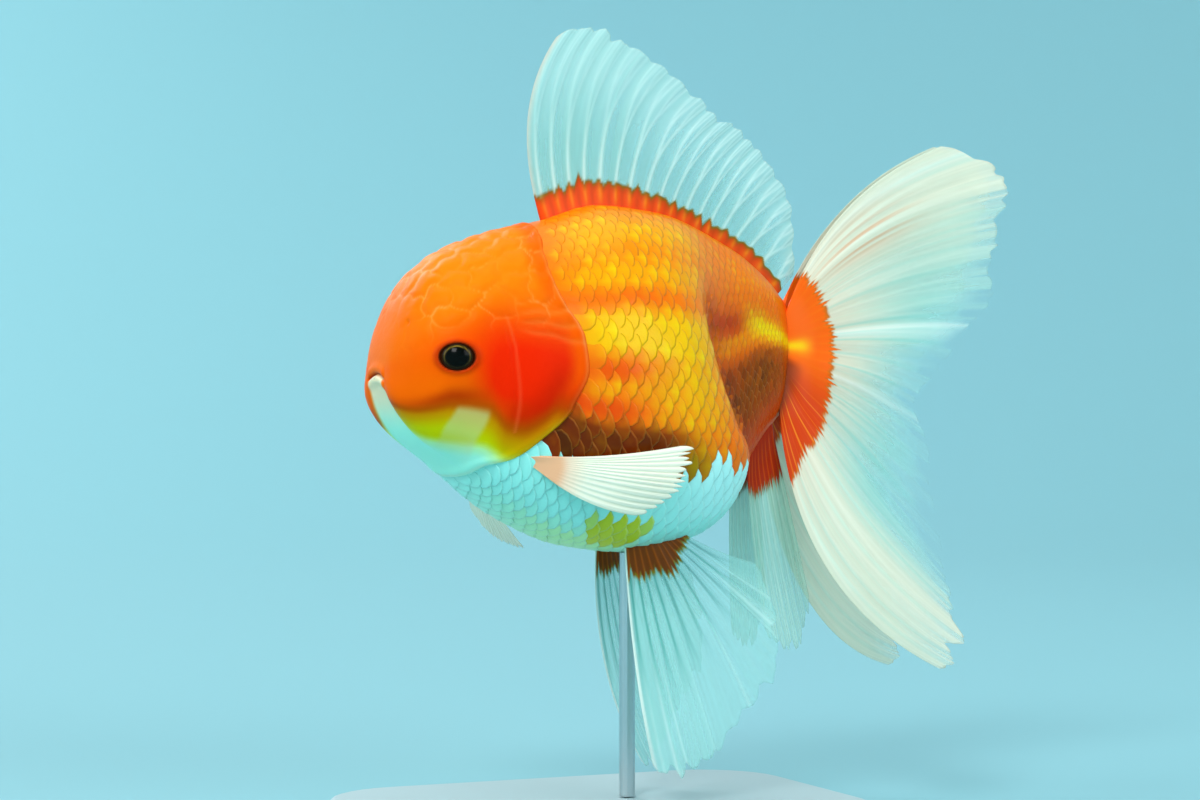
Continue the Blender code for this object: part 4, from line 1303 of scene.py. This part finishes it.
for label, side, rays in (("left", 1, TAIL_LEFT), ("right", -1, TAIL_LEFT[:-2] + TAIL_RIGHT_LAST)):
    fin("tail_rays_" + label, "tail_fin_" + label, on_tail(rays, side), 24, tail_look, 51,
        per_ray=13, rows=84, fold=0.035, notch=0.014, ragged=0.018, flesh=2.2, wave=0.5,
        ray_height=0.06, smooth_root=16)

# %% [markdown]
# ## The stand
# A plain stand holds the fish up: a rounded base moulded in matte plastic and a thin rod of
# brushed steel. They could be made again with finer edges, but their shapes are right as they
# are, so only their finishes change.

# %% Stand finishes
# Matte moulded plastic: a soft, even grey with a fine spark-eroded grain
base_finish, shader = finish("matte_moulded_plastic", Base_Color=paint("#aebfc3"),
                             Roughness=0.55, IOR=1.5)
relief(base_finish, shader, 0.5, 0.02)

# Brushed steel: a metal's mirror broken up by fine lines round the rod
rod_finish, shader = finish("brushed_steel", Base_Color=paint("#c3c7c9"), Metallic=1.0,
                            Roughness=0.3)
spot = add_node(rod_finish, "ShaderNodeTexCoord")
stretched = add_node(rod_finish, "ShaderNodeMapping", {"Scale": (300, 300, 6000)},
                     {"Vector": (spot, "Object")})
lines = add_node(rod_finish, "ShaderNodeTexNoise", {"Scale": 1.0},
                 {"Vector": (stretched, "Vector")})
bump = add_node(rod_finish, "ShaderNodeBump", {"Distance": 0.01 * MM}, {"Height": (lines, "Fac")})
wire(rod_finish, bump, "Normal", shader, "Normal")

for node, material in (("stand_base", base_finish), ("stand_rod", rod_finish)):
    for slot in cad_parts[node].material_slots:
        slot.material = material
    print(node, "is now", material.name)

# %% [markdown]
# ## Floor, light and camera
# The fish is shown as in a studio: a pale floor that curves up all round, wide soft lamps and a
# long lens at the height of the fish. A picture of a room could light it, but lamps with a size
# give soft shadows from any side and need no file. The floor is darker than white, because
# clear fins would be lost against white.

# %% A seamless floor
FLAT_RADIUS = 1000
CURVE_RADIUS = 1500
WALL_TOP = 2600

bend = np.linspace(0, math.pi / 2, 17)[:, None]
profile = np.vstack([[(0, 0), (400, 0), (800, 0)],
                     np.hstack([FLAT_RADIUS + CURVE_RADIUS * np.sin(bend),
                                CURVE_RADIUS * (1 - np.cos(bend))]),
                     [(FLAT_RADIUS + CURVE_RADIUS, WALL_TOP)]])
turn = np.linspace(0, 2 * math.pi, 97)
sweep = np.stack([profile[:, :1] * np.cos(turn), profile[:, :1] * np.sin(turn),
                  profile[:, 1:] + 0 * turn], -1)
floor_mesh = bpy.data.meshes.new("floor")
floor_mesh.from_pydata((sweep.reshape(-1, 3) * MM).tolist(), [],
                       quads(np.arange(sweep[..., 0].size).reshape(sweep.shape[:2])).tolist())
floor_mesh.shade_smooth()
floor = bpy.data.objects.new("floor", floor_mesh)
bpy.context.scene.collection.objects.link(floor)
# Matte paint, pale aqua: an even ground that mirrors nothing
floor_paint, _ = finish("pale_matte_paint", Base_Color=paint("#84b9c2"), Roughness=0.9)
floor_mesh.materials.append(floor_paint)
print("floor", 2 * profile[-1, 0] / 1000, "m across")

# %% Light
# Name, place in metres, width in metres and watts. The key lamp stands ahead of the fish on
# its left, and the others soften the shadows that it leaves
LAMPS = (("key", (1.7, -1.55, 1.8), 0.9, 46.0),
         ("top", (0.0, 0.0, 2.4), 2.4, 24.0),
         ("fill", (1.9, 0.9, 0.9), 1.2, 20.0),
         ("front", (-0.1, -2.0, 1.0), 1.0, 12.0),
         ("far_side", (-1.9, -0.4, 1.4), 1.2, 22.0))
ROOM_LIGHT = 0.3
target = np.array([0.0, 0.0, 0.086])

world = bpy.data.worlds.new("soft_room")
world.use_nodes = True
world.node_tree.nodes["Background"].inputs["Color"].default_value = (1, 1, 1, 1)
world.node_tree.nodes["Background"].inputs["Strength"].default_value = ROOM_LIGHT
bpy.context.scene.world = world
for name, position, width, watts in LAMPS:
    lamp = bpy.data.lights.new(name, "AREA")
    lamp.size = width
    lamp.energy = watts
    made = bpy.data.objects.new(name, lamp)
    made.location = position
    towards = target - np.array(position)
    yaw = math.atan2(-towards[0], towards[1])
    pitch_down = math.acos(-towards[2] / np.linalg.norm(towards))
    made.rotation_euler = (pitch_down, 0, yaw)
    bpy.context.scene.collection.objects.link(made)
    print(name, "lamp", watts, "W")

# %% Camera
AZIMUTH = math.radians(66)
DISTANCE = 0.567
lens = bpy.data.cameras.new("long_lens")
lens.lens = 85.0
lens.sensor_width = 36.0
lens.clip_start = 0.01
camera = bpy.data.objects.new("camera", lens)
camera.location = target + DISTANCE * np.array([math.sin(AZIMUTH), -math.cos(AZIMUTH), 0])
camera.rotation_euler = (math.pi / 2, 0, AZIMUTH)
bpy.context.scene.collection.objects.link(camera)
bpy.context.scene.camera = camera
# colours as they are, without a film curve, so that the fish keeps its vivid orange
bpy.context.scene.view_settings.view_transform = "Standard"
print("camera", [round(v, 3) for v in camera.location])
